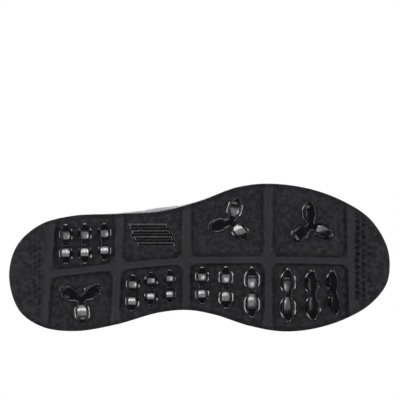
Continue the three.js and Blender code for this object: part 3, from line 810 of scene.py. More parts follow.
FILM = Finish(
    "overlay_film", "overlay_film", Grain.FILM, grey(0.014, 1.12), grey(0.034, 1.1),
    (0.42, 0.56), 2e-4, coat=0.12, coat_rough=0.35)
WEBBING = Finish(
    "webbing", "webbing", Grain.WEBBED, grey(0.010, 1.05), grey(0.034, 1.05),
    (0.6, 0.85), 2.5e-4, sheen=0.2)
LINING = Finish(
    "lining_cloth", "lining_cloth", Grain.SPACER, grey(0.008, 1.1), grey(0.03, 1.08),
    (0.8, 0.95), 3e-4, sheen=0.4)
PAD_CLOTH = Finish(
    "padding_cloth", "lining_cloth", Grain.KNITTED, grey(0.009, 1.1), grey(0.03, 1.08),
    (0.8, 0.95), 2e-4, sheen=0.35)
COVER = Finish(
    "insole_cover_cloth", "lining_cloth", Grain.SPACER, grey(0.02, 1.05), grey(0.06, 1.03),
    (0.75, 0.95), 2e-4, sheen=0.2)
CUP_FOAM = Finish(
    "insole_foam", "insole_foam", Grain.CELLULAR, grey(0.09), grey(0.13),
    (0.8, 0.95), 2e-4)
HOOKS = Finish("hook_tape", "webbing", Grain.HOOKS, grey(0.008), grey(0.035), (0.45, 0.7), 5e-4)
LOOPS = Finish(
    "loop_tape", "lining_cloth", Grain.LOOPS, grey(0.007), grey(0.03),
    (0.85, 1.0), 5e-4, sheen=0.6)
THREAD = Finish(
    "sewing_thread", "webbing", Grain.TWISTED, grey(0.05), grey(0.13),
    (0.45, 0.65), 8e-5)
BOARD = Finish("fibre_board", "board", Grain.FIBRE, grey(0.26), grey(0.34), (0.8, 0.95), 1e-4)
SHANK = Finish(
    "shank_plastic", "shank_plastic", Grain.FIBRE, grey(0.03), grey(0.05),
    (0.35, 0.5), 3e-5)
BACKING = Finish(
    "backing_foam", "insole_foam", Grain.CELLULAR, grey(0.07), grey(0.11),
    (0.85, 0.95), 2e-4)


# ---- Meshes ----
def grid(rows: int, columns: int, start: int = 0, wrap: bool = False) -> Array:
    """Quads between rows and columns of points.

    Args:
        rows: rows of points.
        columns: points in a row.
        start: index of the first point.
        wrap: whether a row closes on itself.

    Returns:
        Corner indices, four to a face.
    """
    i, j = np.meshgrid(np.arange(rows - 1), np.arange(columns if wrap else columns - 1), indexing="ij")
    after = (j + 1) % columns
    corners = [i * columns + j, i * columns + after, (i + 1) * columns + after, (i + 1) * columns + j]
    return start + np.stack(corners, -1).reshape(-1, 4)


@dataclass
class Solid:
    """Points and faces of a piece, in millimetres."""

    points: Array
    faces: list

    @staticmethod
    def rings(rings: Sequence[Array]) -> "Solid":
        """Rings of equal count, one after another."""
        points = np.concatenate(rings)
        return Solid(points, grid(len(rings), len(rings[0]), wrap=True).tolist())

    @staticmethod
    def slab(outer: Array, inner: Array) -> "Solid":
        """Solid between two faces, each a grid of points.

        Args:
            outer: grid of points of the outer face.
            inner: grid of points of the inner face, of the same size.

        Returns:
            The closed solid.
        """
        rows, columns = outer.shape[:2]
        count = rows * columns
        index = np.arange(count).reshape(rows, columns)
        border = np.concatenate([index[0, :-1], index[:-1, -1], index[-1, :0:-1], index[:0:-1, 0]])
        after = np.roll(border, -1)
        side = np.stack([border, border + count, after + count, after], -1)
        faces = [grid(rows, columns), grid(rows, columns, count)[:, ::-1], side]
        points = np.concatenate([outer.reshape(-1, 3), inner.reshape(-1, 3)])
        return Solid(points, np.concatenate(faces).tolist())

    @staticmethod
    def tube(rings: Array, closed: bool = False) -> "Solid":
        """Tube through rings of points.

        Args:
            rings: its rings, one after another.
            closed: whether it closes on itself, or else is capped at both ends.

        Returns:
            The tube.
        """
        count, around = rings.shape[:2]
        faces = grid(count, around, wrap=True).tolist()
        last = (count - 1) * around
        if closed:
            faces += [[last + j, last + (j + 1) % around, (j + 1) % around, j] for j in range(around)]
        else:
            faces += [list(range(around))[::-1], list(range(last, last + around))]
        return Solid(rings.reshape(-1, 3), faces)

    def joined(self, *others: "Solid") -> "Solid":
        """This solid and others as one.

        Args:
            others: the solids that it is joined with.

        Returns:
            The joined solid.
        """
        points, faces = self.points, list(self.faces)
        for other in others:
            faces += [[k + len(points) for k in f] for f in other.faces]
            points = np.concatenate([points, other.points])
        return Solid(points, faces)


def mesh_points(piece: bpy.types.Object) -> Array:
    """Reads a piece's points.

    Args:
        piece: the piece.

    Returns:
        Its points in millimetres.
    """
    found = np.empty(len(piece.data.vertices) * 3, np.float32)
    piece.data.vertices.foreach_get("co", found)
    return found.reshape(-1, 3).astype(float) / MM


def set_mark(piece: bpy.types.Object, name: str, vectors: Array) -> None:
    """Writes a vector at every point for the finish to read."""
    found = piece.data.attributes.get(name) or piece.data.attributes.new(name, "FLOAT_VECTOR", "POINT")
    found.data.foreach_set("vector", np.ascontiguousarray(vectors, np.float32).ravel())


def move_points(piece: bpy.types.Object, points: Array) -> None:
    """Sets a piece's points, given in millimetres."""
    piece.data.vertices.foreach_set("co", (points * MM).astype(np.float32).ravel())


def applied(piece: bpy.types.Object) -> None:
    """Makes a piece's modifiers part of its mesh.

    Args:
        piece: the piece.
    """
    made = bpy.data.meshes.new_from_object(piece.evaluated_get(bpy.context.evaluated_depsgraph_get()))
    piece.modifiers.clear()
    piece.data = made


def make_piece(name: str, solid: Solid, merge: bool = False) -> bpy.types.Object:
    """Makes a smoothly shaded object of a solid.

    Args:
        name: the object's name.
        solid: its points and faces.
        merge: whether points in the same place become one.

    Returns:
        The object.
    """
    mesh = bpy.data.meshes.new(name)
    mesh.from_pydata((solid.points * MM).tolist(), [], solid.faces)
    work = bmesh.new()
    work.from_mesh(mesh)
    if merge:
        bmesh.ops.remove_doubles(work, verts=work.verts, dist=1e-6)
        bmesh.ops.dissolve_degenerate(work, edges=work.edges, dist=1e-7)
    bmesh.ops.recalc_face_normals(work, faces=work.faces)
    work.to_mesh(mesh)
    work.free()
    mesh.polygons.foreach_set("use_smooth", [True] * len(mesh.polygons))
    piece = bpy.data.objects.new(name, mesh)
    bpy.context.scene.collection.objects.link(piece)
    return piece


def place(
    piece: bpy.types.Object, finish: Finish, body: str = "shoe", stands_for: Sequence[str] = ()
) -> bpy.types.Object:
    """Gives a piece its finish and its body.

    Args:
        piece: the object.
        finish: what it is finished in.
        body: the body that it moves with.
        stands_for: frame nodes that it replaces.

    Returns:
        The object.
    """
    piece.data.materials.clear()
    piece.data.materials.append(finish.material())
    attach(piece, body)
    if stands_for:
        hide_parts(*stands_for)
    LOG.info("%s: %d faces, on %s", piece.name, len(piece.data.polygons), body)
    return piece


# ---- Sole unit ----
class SoleColumns:
    """Columns round the sole that meet along a spine, so that rings close without a gap."""

    spine_ends = (-100.0, 90.0)
    heel_round = 150  # length of the outline round each end of the spine
    toe_round = 200

    def __init__(self, pitch: float, inset: float) -> None:
        """Lays the columns out.

        Args:
            pitch: distance between columns.
            inset: how far in the columns leave the outline's own direction.
        """
        heel, toe = self.spine_ends
        t = np.linspace(0, 1, 8001)
        point, out = LAST.edge(t)
        x = (point - out * inset)[:, 0]
        inner, outer = (t > 0.02) & (t < 0.5), (t > 0.5) & (t < 0.98)
        along = np.linspace(toe, heel, round((toe - heel) / pitch) + 1)
        t_inner = np.interp(along, x[inner][::-1], t[inner][::-1])
        t_outer = np.interp(along[::-1], x[outer], t[outer])
        round_heel = np.linspace(t_inner[-1], t_outer[0], round(self.heel_round / pitch))[1:-1]
        round_toe = np.linspace(t_outer[-1], t_inner[0] + 1, round(self.toe_round / pitch))[1:-1]
        self.shares = np.concatenate([t_inner, round_heel, t_outer, round_toe])
        at_heel, at_toe = np.full(len(round_heel), heel), np.full(len(round_toe), toe)
        spine_x = np.concatenate([along, at_heel, along[::-1], at_toe])
        self.spine = np.stack([spine_x, self.spine_y(spine_x), np.zeros_like(spine_x)], -1)
        self.point, self.out = LAST.edge(self.shares)

    @staticmethod
    def spine_y(x: Array) -> Array:
        """Centre line of the long ridge."""
        return np.interp(x, *np.array(LONG_RIDGE, float).T)

    def ring(self, inset: float, height: Callable[[Array], Array], flare: float = 0) -> Array:
        """Ring at an inset.

        Args:
            inset: how far in from the outline.
            height: its height along x.
            flare: how much of the outer waist's extra reach it takes.

        Returns:
            The ring's points.
        """
        ring = self.point + self.out * (flare * LAST.flare(self.point) - inset)[:, None]
        ring[:, 2] = height(ring[:, 0])
        return ring

    def inner(self, share: float, start: Array, height: Callable[[Array], Array]) -> Array:
        """Ring part of the way from a ring to the spine.

        Args:
            share: 0 at the ring to 1 at the spine.
            start: the ring.
            height: its height along x.

        Returns:
            The ring's points.
        """
        ring = start + (self.spine - start) * share
        ring[:, 2] = height(ring[:, 0])
        return ring


@dataclass(frozen=True)
class Notches:
    """Columns of triangular notches in a crescent, each column offset by half a pitch."""

    way: int  # +1 where the columns count towards the toe, -1 towards the heel
    start: float
    lead: float
    row_start: float
    middle: float
    half_span: float
    fade: float
    pitch: tuple[float, float]
    columns: int
    size: float

    def shape(self, x: Array, y: Array) -> Array:
        """Shape of the notches.

        Args:
            x: places along the sole.
            y: places across it.

        Returns:
            Depth from 0 to 1.
        """
        u, v = self.way * x - self.start, y - self.row_start
        column = np.clip(np.round(u / self.pitch[0]), 0, self.columns - 1)
        across = u - column * self.pitch[0]
        step = v / self.pitch[1] + 0.5 * (column % 2)
        along = (step - np.floor(step) - 0.5) * self.pitch[1]
        point = np.where(np.floor(step) % 2 == 0, across, -across)
        inside = self.size - np.maximum(point * 1.15, np.abs(along) - point * 0.55)
        depth = ease(inside / 0.9) * (1 - column / (self.columns + 0.5))
        return depth * ease((self.half_span - np.abs(y - self.middle)) / self.fade) * (u > -self.lead)


HEEL_NOTCHES = Notches(-1, 125.5, 2.4, 9, 12, 27, 5, (3.6, 4.6), 4, 1.5)
TOE_NOTCHES = Notches(1, 123.6, 2.6, 0, 0, 34, 3, (4.6, 5.1), 3, 1.95)


def band(distance: Array, middle: float, width: float) -> Array:
    """Soft band from 0 to 1, round a distance."""
    return np.exp(-(((distance - middle) / width) ** 2))


@dataclass
class Outsole:
    """Moulded rubber outsole: pads between ridges, low stars, heel and toe notches."""

    pitch: float = 0.62
    rows: int = 92
    wall: float = 1.9
    wall_start: float = 0.5
    bead: float = 0.16
    bead_at: float = 0.85
    bead_width: float = 0.55
    star_pitch: float = 9.2
    star_height: float = 0.8
    star_scatter: float = 2.6
    star_inset: float = 2.2
    star_fade: float = 2
    lug_clear: float = 7.5
    lug_fade: float = 6
    heel_notch: float = 0.62
    toe_notch: float = 1.35
    ridge_highlight_reach: float = 1.2
    ridge_highlight_fade: float = 2.2
    border: float = 2.2
    border_fade: float = 1.8
    star_pads: tuple[tuple[int, int], ...] = ((0, 1), (1, -1), (2, -1), (3, -1))
    upper_shares: tuple[float, ...] = (1, 0.8, 0.55, 0.3, 0.12)
    edge_profile: tuple[tuple[float, float], ...] = (  # inset, and height above the pads' floor
        (0, 1.9), (0.03, 1.2), (0.18, 0.6), (0.45, 0.05), (0.85, -0.4), (1.35, -0.8), (2.0, -1.1),
        (2.9, -1.38), (4, -1.5),
    )

    @staticmethod
    def ridge_x(ridge: int, y: Array) -> Array:
        """Where a crossing ridge runs at y."""
        (x0, y0), (x1, y1) = CROSS_RIDGES[ridge]
        return x0 + (x1 - x0) * (y - y0) / (y1 - y0)

    def depth_in(self, x: Array, y: Array, column: int, side: int) -> Array:
        """How far inside a pad the points are, with its corners rounded.

        Args:
            x: places along the sole.
            y: places across it.
            column: the pad's place, counted from the heel.
            side: 1 on the inner side of the long ridge, -1 on the outer.

        Returns:
            Distances in from the pad's edge.
        """
        w, r = SHARED.ridge_width / 2, SHARED.pad_corner
        ends = np.minimum(x - self.ridge_x(column, y), self.ridge_x(column + 1, y) - x) - w
        near = side * (y - SoleColumns.spine_y(x)) - w
        return r - np.hypot(np.maximum(r - ends, 0), np.maximum(r - near, 0))

    def stars(self, x: Array, y: Array) -> Array:
        """Low three-pointed pyramids, scattered on a staggered grid.

        Args:
            x: places along the sole.
            y: places across it.

        Returns:
            Their heights there.
        """
        dice = np.random.default_rng(11).random((64, 64, 4))
        row = np.floor(y / self.star_pitch).astype(int)
        shifted = x / self.star_pitch + 0.5 * (row % 2)
        column = np.floor(shifted).astype(int)
        chance = dice[row % 64, column % 64]
        u = (shifted - column - 0.5) * self.star_pitch - (chance[..., 0] - 0.5) * self.star_scatter
        v = (y / self.star_pitch - row - 0.5) * self.star_pitch - (chance[..., 1] - 0.5) * self.star_scatter
        turn = np.arctan2(v, u) - chance[..., 2] * 2 * math.pi
        reach = (1.5 + 2.4 * (0.5 + 0.5 * np.cos(3 * turn)) ** 1.6) * (0.75 + 0.4 * chance[..., 3])
        return self.star_height * np.clip(1.15 * (1 - np.hypot(u, v) / reach), 0, 1)

    def relief_and_painted_shading(self, x: Array, y: Array) -> tuple[Array, Array]:
        """Height of the tread below the pad floor, and the painted light and shade that its finish takes.

        Args:
            x: places along the sole.
            y: places across it.

        Returns:
            Heights, and vectors for the finish: painted highlight on ridges and star tops, the lighter bead
                (partly edge wear, partly painted highlight), and painted shade.
        """
        inside = np.full_like(x, -9.0)
        starred = np.zeros_like(x)
        for column in range(4):
            for side in (-1, 1):
                depth = self.depth_in(x, y, column, side)
                inside = np.maximum(inside, depth)
                if (column, side) in self.star_pads:
                    starred = np.maximum(starred, ease((depth - self.star_inset) / self.star_fade))
        for lug_x, lug_y, _ in TREFOIL_LUGS.values():
            starred *= ease((np.hypot(x - lug_x, y - lug_y) - self.lug_clear) / self.lug_fade)
        stars = self.stars(x, y) * starred
        ridge = SHARED.ridge_height * (1 - ease((inside + self.wall_start) / self.wall))
        # The bead round each pad, also made lighter in colour: partly edge wear, partly painted highlight
        # along its edge.
        bead_and_highlight = band(inside, -self.bead_at, self.bead_width)
        heel, toe = HEEL_NOTCHES.shape(x, y), TOE_NOTCHES.shape(x, y)
        tread = ridge + stars + self.bead * bead_and_highlight - self.heel_notch * heel - self.toe_notch * toe
        # Painted highlight: line makes the colour lighter along the ridges, as if their raised faces caught
        # the light.
        near_cross = np.min([np.abs(x - self.ridge_x(k, y)) for k in range(5)], axis=0)
        between = (x > self.ridge_x(0, y)) & (x < self.ridge_x(4, y))
        near_long = np.where(between, np.abs(y - SoleColumns.spine_y(x)), 9.0)
        line = 1 - ease((np.minimum(near_cross, near_long) - self.ridge_highlight_reach) / self.ridge_highlight_fade)
        # Painted shade at the feet of the stars, in the notches and in a band just inside the pad walls.
        star_foot_shade = band(stars / self.star_height, 0.06, 0.05) * (stars > 0)
        shade = band(inside, 1.4, 1.1) + 0.8 * heel + 1.6 * toe + 1.3 * star_foot_shade
        # First mark: painted highlight on the ridges and on the stars' raised tops.
        return tread, np.stack([line + 0.9 * stars, bead_and_highlight, shade], -1)

    def build(self) -> bpy.types.Object:
        """Makes the outsole's mesh and its marks of painted light and shade.

        Returns:
            The outsole.
        """
        columns = SoleColumns(self.pitch, 4)
        top = LAST.outsole_top
        rings = [columns.inner(s, columns.ring(0.2, top), top) for s in self.upper_shares]
        rings += [columns.ring(0.2, top), columns.ring(0.02, lambda x: top(x) - 0.5)]
        for inset, lift in self.edge_profile:
            ring = columns.ring(inset, LAST.floor)
            tread, _ = self.relief_and_painted_shading(ring[:, 0], ring[:, 1])
            ring[:, 2] -= np.minimum(-lift, tread) if lift < 0 else -lift
            rings.append(ring)
        start = columns.ring(4, LAST.floor)
        for k in range(1, self.rows + 1):
            ring = columns.inner(k / self.rows, start, LAST.floor)
            ring[:, 2] -= self.relief_and_painted_shading(ring[:, 0], ring[:, 1])[0]
            rings.append(ring)
        piece = make_piece("outsole_tread", Solid.rings(rings), merge=True)
        at = mesh_points(piece)
        _, marks = self.relief_and_painted_shading(at[:, 0], at[:, 1])
        below = at[:, 2] < LAST.floor(at[:, 0]) + 0.6
        loop = LAST.edge(np.linspace(0, 1, 2400, endpoint=False))[0]
        far = nearest(at * (1, 1, 0), loop)
        # Darker within a few millimetres of the outline, and darker still (0.8) on every point above the
        # pads' floor.
        marks[:, 2] += 0.9 * (1 - ease((far - self.border) / self.border_fade))
        set_mark(piece, "relief_and_painted_shading", np.where(below[:, None], marks, (0, 0, 0.8)))
        return place(piece, RUBBER, stands_for=["outsole"])


@dataclass(frozen=True)
class Station:
    """Section across a lug's petal, as shares of its reach, half width and height."""

    along: float
    base: float
    crest: float
    height: float


class Lug(Enum):
    """Kinds of lug, by how many petals they have."""

    TWIN = 2
    TREFOIL = 3


PETALS = {
    Lug.TWIN: (
        Station(0.07, 0.60, 0.36, 0.42), Station(0.17, 0.76, 0.40, 0.60), Station(0.25, 0.90, 0.46, 0.71),
        Station(0.34, 1.0, 0.52, 0.81), Station(0.46, 1.0, 0.54, 0.92), Station(0.60, 1.0, 0.52, 1.0),
        Station(0.69, 0.90, 0.46, 0.85), Station(0.82, 0.66, 0.32, 0.50), Station(0.92, 0.46, 0.20, 0.28),
        Station(0.96, 0.40, 0.14, 0.25), Station(1.0, 0.26, 0.10, 0.2),
    ),
    Lug.TREFOIL: (
        Station(0.26, 0.72, 0.40, 0.46), Station(0.33, 0.92, 0.50, 0.57), Station(0.42, 1.0, 0.58, 0.70),
        Station(0.53, 1.0, 0.60, 0.82), Station(0.66, 1.0, 0.58, 0.92), Station(0.76, 0.97, 0.55, 0.97),
        Station(0.87, 0.76, 0.42, 0.82), Station(0.97, 0.52, 0.20, 0.24), Station(1.0, 0.40, 0.12, 0.2),
    ),
}


def about_z(angle: float) -> Array:
    """Rotation about +Z."""
    c, s = math.cos(angle), math.sin(angle)
    return np.array([[c, -s, 0], [s, c, 0], [0, 0, 1]])


@dataclass
class Lugs:
    """Glossy ground lugs and the ribbed insert of the outer waist."""

    seat: float = 1.0
    least_height: float = 0.8
    bevel: float = 0.35
    bevel_angle: float = 18
    trefoil_petal: tuple[float, float] = (18.6, 6.0)
    insert_points: int = 129
    insert_ribs: int = 4
    insert_rise: float = 0.45
    rib_rise: float = 0.5
    insert_size: tuple[float, float] = (33, 19)
    insert_slant: float = 8
    insert_at: tuple[float, float] = (-37.5, -17.5)

    def section(self, w: float, c: float, height: float) -> list[tuple[float, float]]:
        """Half section from the seat's edge to the crest's middle.

        Args:
            w: half width at the seat.
            c: half width of the crest.
            height: height of the crest.

        Returns:
            Distances from the middle, and heights.
        """
        gap, top = w - c, max(height, self.least_height)
        chamfer = [(0.64, -0.84), (0.46, -0.72), (0.28, -0.74)]
        foot = [(w, self.seat), (w, -0.12)] + [(c + share * gap, z) for share, z in chamfer]
        return foot + [(c, 0.11 - top), (0.55 * c, 0.02 - top), (0, -top)]

    def petal(self, kind: Lug, reach: float, half: float) -> Solid:
        """One petal along +X, open at its root where it joins its neighbours.

        Args:
            kind: which lug it belongs to.
            reach: centre to tip.
            half: half its width.

        Returns:
            The petal.
        """
        spread = math.pi / kind.value
        top = SHARED.lug_height
        first = PETALS[kind][0]
        root = self.section(first.base * half, first.crest * half, first.height * top)
        if kind is Lug.TREFOIL:
            root = [(w * 0.9, z) for w, z in root]
        rows = [[(w * math.cos(spread), w * math.sin(spread), z) for w, z in root]]
        for s in PETALS[kind]:
            cut = self.section(s.base * half, s.crest * half, s.height * top)
            rows.append([(s.along * reach, w, z) for w, z in cut])
        rows = [row + [(x, -y, z) for x, y, z in row[-2::-1]] for row in rows]
        count = len(rows[0])
        hub = len(rows) * count
        faces = grid(len(rows), count, wrap=True).tolist()
        faces += [list(range(hub - count, hub)), [count - 1, 0, hub]]
        return Solid(np.array([p for row in rows for p in row] + [(0, 0, self.seat)], float), faces)

    def build_lug(
        self, name: str, kind: Lug, at: tuple[float, float], sizes: tuple[float, float], turn: float
    ) -> bpy.types.Object:
        """Makes a lug of even petals, with its edges eased, in its pad.

        Args:
            name: the frame node that it stands for.
            kind: how many petals it has.
            at: its centre in plan.
            sizes: a petal's reach and half width.
            turn: turn of its first petal, in degrees.

        Returns:
            The lug.
        """
        petal = self.petal(kind, *sizes)
        spins = [about_z(2 * math.pi * k / kind.value) for k in range(kind.value)]
        first, *others = (Solid(petal.points @ spin.T, petal.faces) for spin in spins)
        solid = first.joined(*others)
        solid.points = self.seated(solid.points, at, turn)
        piece = make_piece(f"{name}_gloss", solid, merge=True)
        self.eased(piece)
        return place(piece, GLOSS, stands_for=[name])

    def eased(self, piece: bpy.types.Object) -> None:
        """Bevels a piece's edges and keeps its facets flat.

        Args:
            piece: the piece.
        """
        bevel = piece.modifiers.new("edges", "BEVEL")
        bevel.width, bevel.segments = self.bevel * MM, 2
        bevel.limit_method, bevel.angle_limit = "ANGLE", math.radians(self.bevel_angle)
        piece.modifiers.new("facets", "WEIGHTED_NORMAL").weight = 100
        applied(piece)

    @staticmethod
    def seated(points: Array, at: tuple[float, float], turn: float) -> Array:
        """Turns points, tilts them with the sole and sets them on its pads' floor.

        Args:
            points: points round the origin, on z = 0.
            at: where the origin goes in plan.
            turn: turn about +Z, in degrees.

        Returns:
            The points in place.
        """
        x, y = at
        b = math.atan(float(LAST.floor(x + 1) - LAST.floor(x - 1)) / 2)
        tilt = np.array([[math.cos(b), 0, -math.sin(b)], [0, 1, 0], [math.sin(b), 0, math.cos(b)]])
        return points @ (tilt @ about_z(math.radians(turn))).T + (x, y, float(LAST.floor(x)))

    def build_insert(self) -> bpy.types.Object:
        """Makes the plain slanted insert with its ribs.

        Returns:
            The insert.
        """
        (length, width), n = self.insert_size, self.insert_points
        u, v = np.meshgrid(np.linspace(-0.5, 0.5, n), np.linspace(-0.5, 0.5, n), indexing="ij")
        y = v * width
        x = u * length + v * self.insert_slant
        rim = np.minimum(length * (0.5 - np.abs(u)), width * (0.5 - np.abs(v)))
        ends = ease((length * (0.5 - np.abs(u)) - 1.6) / 0.9)
        wave = 0.5 + 0.5 * np.cos(2 * math.pi * (v * self.insert_ribs + 0.5))
        rib = ends * ease((wave - 0.36) / 0.22)
        z = -self.insert_rise * ease(rim / 0.5) - self.rib_rise * rib + 0.3 * (1 - ease(rim / 0.35))
        outer, inner = (
            self.seated(np.stack([x, y, height], -1).reshape(-1, 3), self.insert_at, 0).reshape(n, n, 3)
            for height in (z, np.full_like(x, self.seat)))
        piece = make_piece("waist_insert_ribbed", Solid.slab(outer, inner))
        return place(piece, GLOSS, stands_for=["waist_insert"])

    def build(self) -> None:
        """Makes every lug and the insert."""
        for name, (x, y, length, width, turn) in TWIN_LUGS.items():
            self.build_lug(f"twin_lug_{name}", Lug.TWIN, (x, y), (length / 2, width / 2), turn)
        for name, (x, y, turn) in TREFOIL_LUGS.items():
            self.build_lug(f"trefoil_lug_{name}", Lug.TREFOIL, (x, y), self.trefoil_petal, turn)
        self.build_insert()


@dataclass
class Midsole:
    """Moulded foam midsole with sculpted lines along its wall."""

    rows: int = 72
    pitch: float = 1.3
    groove: float = 0.95
    grooves: tuple[float, ...] = (0.30, 0.47, 0.64)
    groove_width: float = 0.022
    wave: float = 0.07
    wave_length: float = 170
    wall_profile: tuple[tuple[float, ...], ...] = (  # share of the way up, inset, share of height, flare
        (0, 0.4, 0, 0.35), (0.04, 0.12, 0.012, 0.45), (0.3, -0.2, 0.3, 0.8), (0.7, 0.6, 0.7, 1),
        (0.93, 1.3, 0.955, 1), (0.97, 1.6, 0.99, 1), (1, 2.0, 1.0, 1),
    )

    def lines(self, share: Array | float, x: Array) -> Array:
        """Depth of the sculpted lines, which rise and fall along the shoe, from 0 to 1."""
        swing = self.wave * np.sin(2 * math.pi * x / self.wave_length)
        return sum(band(share, g + swing * (1.6 - g), self.groove_width) for g in self.grooves)

    def profile(self, v: float) -> tuple[float, float, float]:
        """Inset, share of the wall's height and flare, at a share of the way up."""
        places, *columns = np.array(self.wall_profile, float).T
        return tuple(float(np.interp(v, places, column)) for column in columns)

    def build(self) -> bpy.types.Object:
        """Makes the midsole.

        Returns:
            The midsole.
        """
        def low(x: Array) -> Array:
            """Height of the midsole's lower face."""
            return LAST.outsole_top(x) + SHARED.gap

        columns, rim = SoleColumns(self.pitch, 4), LAST.rim
        start = columns.ring(0.4, low, 0.35)
        rings = [columns.inner(s, start, low) for s in (1, 0.7, 0.4, 0.15)]
        for v in np.linspace(0, 1, self.rows):
            inset, height, flare = self.profile(v)
            cut = self.groove * self.lines(v, columns.point[:, 0])
            rings.append(columns.ring(inset + cut, lambda x: low(x) + height * (rim(x) - low(x)), flare))
        upright = SHARED.feather_inset - SHARED.overlay_top
        start = columns.ring(upright - 0.5, LAST.bed, 0.4)
        rings.append(columns.ring(upright - 1.9, rim, 0.9))
        rings += [columns.ring(upright - 0.9, lambda x: rim(x) - 3, 0.5), start]
        rings += [columns.inner(s, start, LAST.bed) for s in (0.15, 0.4, 0.7, 1)]
        piece = make_piece("midsole_moulded", Solid.rings(rings), merge=True)
        at = mesh_points(piece)
        share = (at[:, 2] - low(at[:, 0])) / (rim(at[:, 0]) - low(at[:, 0]))
        # Painted shade for the finish: darker along the sculpted grooves.
        set_mark(piece, "relief_and_painted_shading", np.stack([share * 0, share * 0, self.lines(share, at[:, 0]) * 0.6], -1))
        return place(piece, FOAM, stands_for=["midsole"])


# ---- Upper ----
def clustered(count: int, length: float, edge: float = 1.3) -> tuple[Array, Array]:
    """Shares across a panel, closer together at both ends, and how far its face is raised there.

    Args:
        count: shares between the eased ends.
        length: the panel's size that way.
        edge: width of the eased end.

    Returns:
        Shares from 0 to 1, and raises from 0 at the very edge to 1.
    """
    steps = np.array([0, 0.12, 0.35, 0.65])
    end = edge / max(length, 4 * edge)
    near = steps * edge / max(length, 4 * edge)
    share = np.concatenate([near, np.linspace(end, 1 - end, count), 1 - near[::-1]])
    raised = np.sqrt(1 - (1 - steps) ** 2)
    return share, np.concatenate([raised, np.ones(count), raised[::-1]])


def lengths_along(path: Array) -> Array:
    """Distances along a path of points, from its start."""
    return np.concatenate([[0], np.cumsum(np.linalg.norm(np.diff(path, axis=0), axis=1))])


def weave_of(at: Array, turn_height: float) -> Array:
    """Coordinates of a knit laid over a shoe: along it, and round it from its top."""
    x, y, z = at.T
    return np.stack([x, y + np.sign(y) * np.maximum(0, turn_height - z)], -1)


@dataclass
class Panel:
    """Panel of the upper in one layer, between ribs and rises, with an eased edge all round."""

    rib_length = 30  # about how far apart two ribs are, and how high the wall is
    wall_height = 105
    rib_columns = 11
    row_pitch = 2.6
    thin_edge = 0.12
    edge_mark = 2.4

    name: str
    node: str
    finish: Finish
    layer: tuple[float, float]
    span: tuple[float, float]
    low: Callable[[Array], Array]
    high: Callable[[Array], Array]
    lean: float = 0
    seat: float = 0
    turn_height: float = 200
    edge: float = 1.3

    def shape(self) -> tuple[Array, Array, Array]:
        """Ribs, rises and raise of the panel's grid.

        Returns:
            The ribs, the rises and how far the face is raised, all on the grid.
        """
        r0, r1 = self.span
        columns, length = round((r1 - r0) * self.rib_columns) + 4, (r1 - r0) * self.rib_length
        share, raised_u = clustered(columns, length, self.edge)
        low, high = self.low(share), self.high(share)
        height = float(np.mean(high - low)) * self.wall_height
        step, raised_v = clustered(max(6, round(height / self.row_pitch)), height, self.edge)
        rise = low[:, None] + (high - low)[:, None] * step
        rib = (r0 + (r1 - r0) * share)[:, None] + self.lean * rise
        return rib, rise, np.minimum(raised_u[:, None], raised_v)

    def build(self) -> bpy.types.Object:
        """Makes the panel.

        Returns:
            The panel.
        """
        rib, rise, raised = self.shape()
        inner, outer = self.layer[0] - self.seat, self.layer[1]
        face = inner + (outer - inner) * (self.thin_edge + (1 - self.thin_edge) * raised)
        outside, inside = LAST.shell(rib, rise, face), LAST.shell(rib, rise, inner)
        piece = make_piece(self.name, Solid.slab(outside, inside))
        at = mesh_points(piece)
        edge = np.concatenate([raised.ravel()] * 2) * self.edge_mark
        set_mark(piece, "weave", np.column_stack([weave_of(at, self.turn_height), edge]))
        return place(piece, self.finish, stands_for=[self.node])


@dataclass
class Seam:
    """Row of stitches through points."""

    name: str
    finish: Finish = THREAD
    pitch: float = 3.1
    length: float = 2.3
    radius: float = 0.34
    around: int = 6
    sections: tuple[tuple[float, ...], ...] = (  # along a stitch, thickness and how far it sinks
        (-1, 0.3, 0.5), (-0.72, 0.95, 0.1), (0, 1.05, 0), (0.72, 0.95, 0.1), (1, 0.3, 0.5),
    )
    solids: list[Solid] = field(default_factory=list)

    def run(self, path: Array, normal: Array) -> "Seam":
        """Adds stitches along a path.

        Args:
            path: points of the path.
            normal: outward directions at them.

        Returns:
            The seam.
        """
        far = lengths_along(path)

        def pick(rows: Array, places: Array) -> Array:
            """Rows at distances along the path."""
            return np.stack([np.interp(places, far, rows[:, k]) for k in range(3)], -1)

        middles = np.arange(self.pitch, far[-1] - self.pitch / 2, self.pitch)
        centre, out = pick(path, middles), unit(pick(normal, middles))
        along = unit(pick(path, middles + 0.5) - pick(path, middles - 0.5))
        side = np.cross(out, along)
        turn = np.arange(self.around) * 2 * math.pi / self.around
        circle = side[:, None] * np.cos(turn)[:, None] + out[:, None] * np.sin(turn)[:, None]
        rings = []
        for place_along, thick, sink in self.sections:
            middle = centre + along * (place_along * self.length / 2) - out * sink
            rings.append(middle[:, None] + self.radius * thick * circle)
        stack = np.stack(rings, 1)
        per_stitch = len(self.sections) * self.around
        one = Solid.tube(stack[0]).faces
        faces = [[k * per_stitch + c for c in f] for k in range(len(stack)) for f in one]
        self.solids.append(Solid(stack.reshape(-1, 3), faces))
        return self

    def build(self, body: str = "shoe") -> bpy.types.Object:
        """Makes the seam's piece.

        Args:
            body: the body that it rides on.

        Returns:
            The piece.
        """
        piece = make_piece(self.name, self.solids[0].joined(*self.solids[1:]))
        at = mesh_points(piece)
        set_mark(piece, "weave", np.column_stack([at[:, 0] + at[:, 2], at[:, 1], at[:, 2]]))
        return place(piece, self.finish, body)


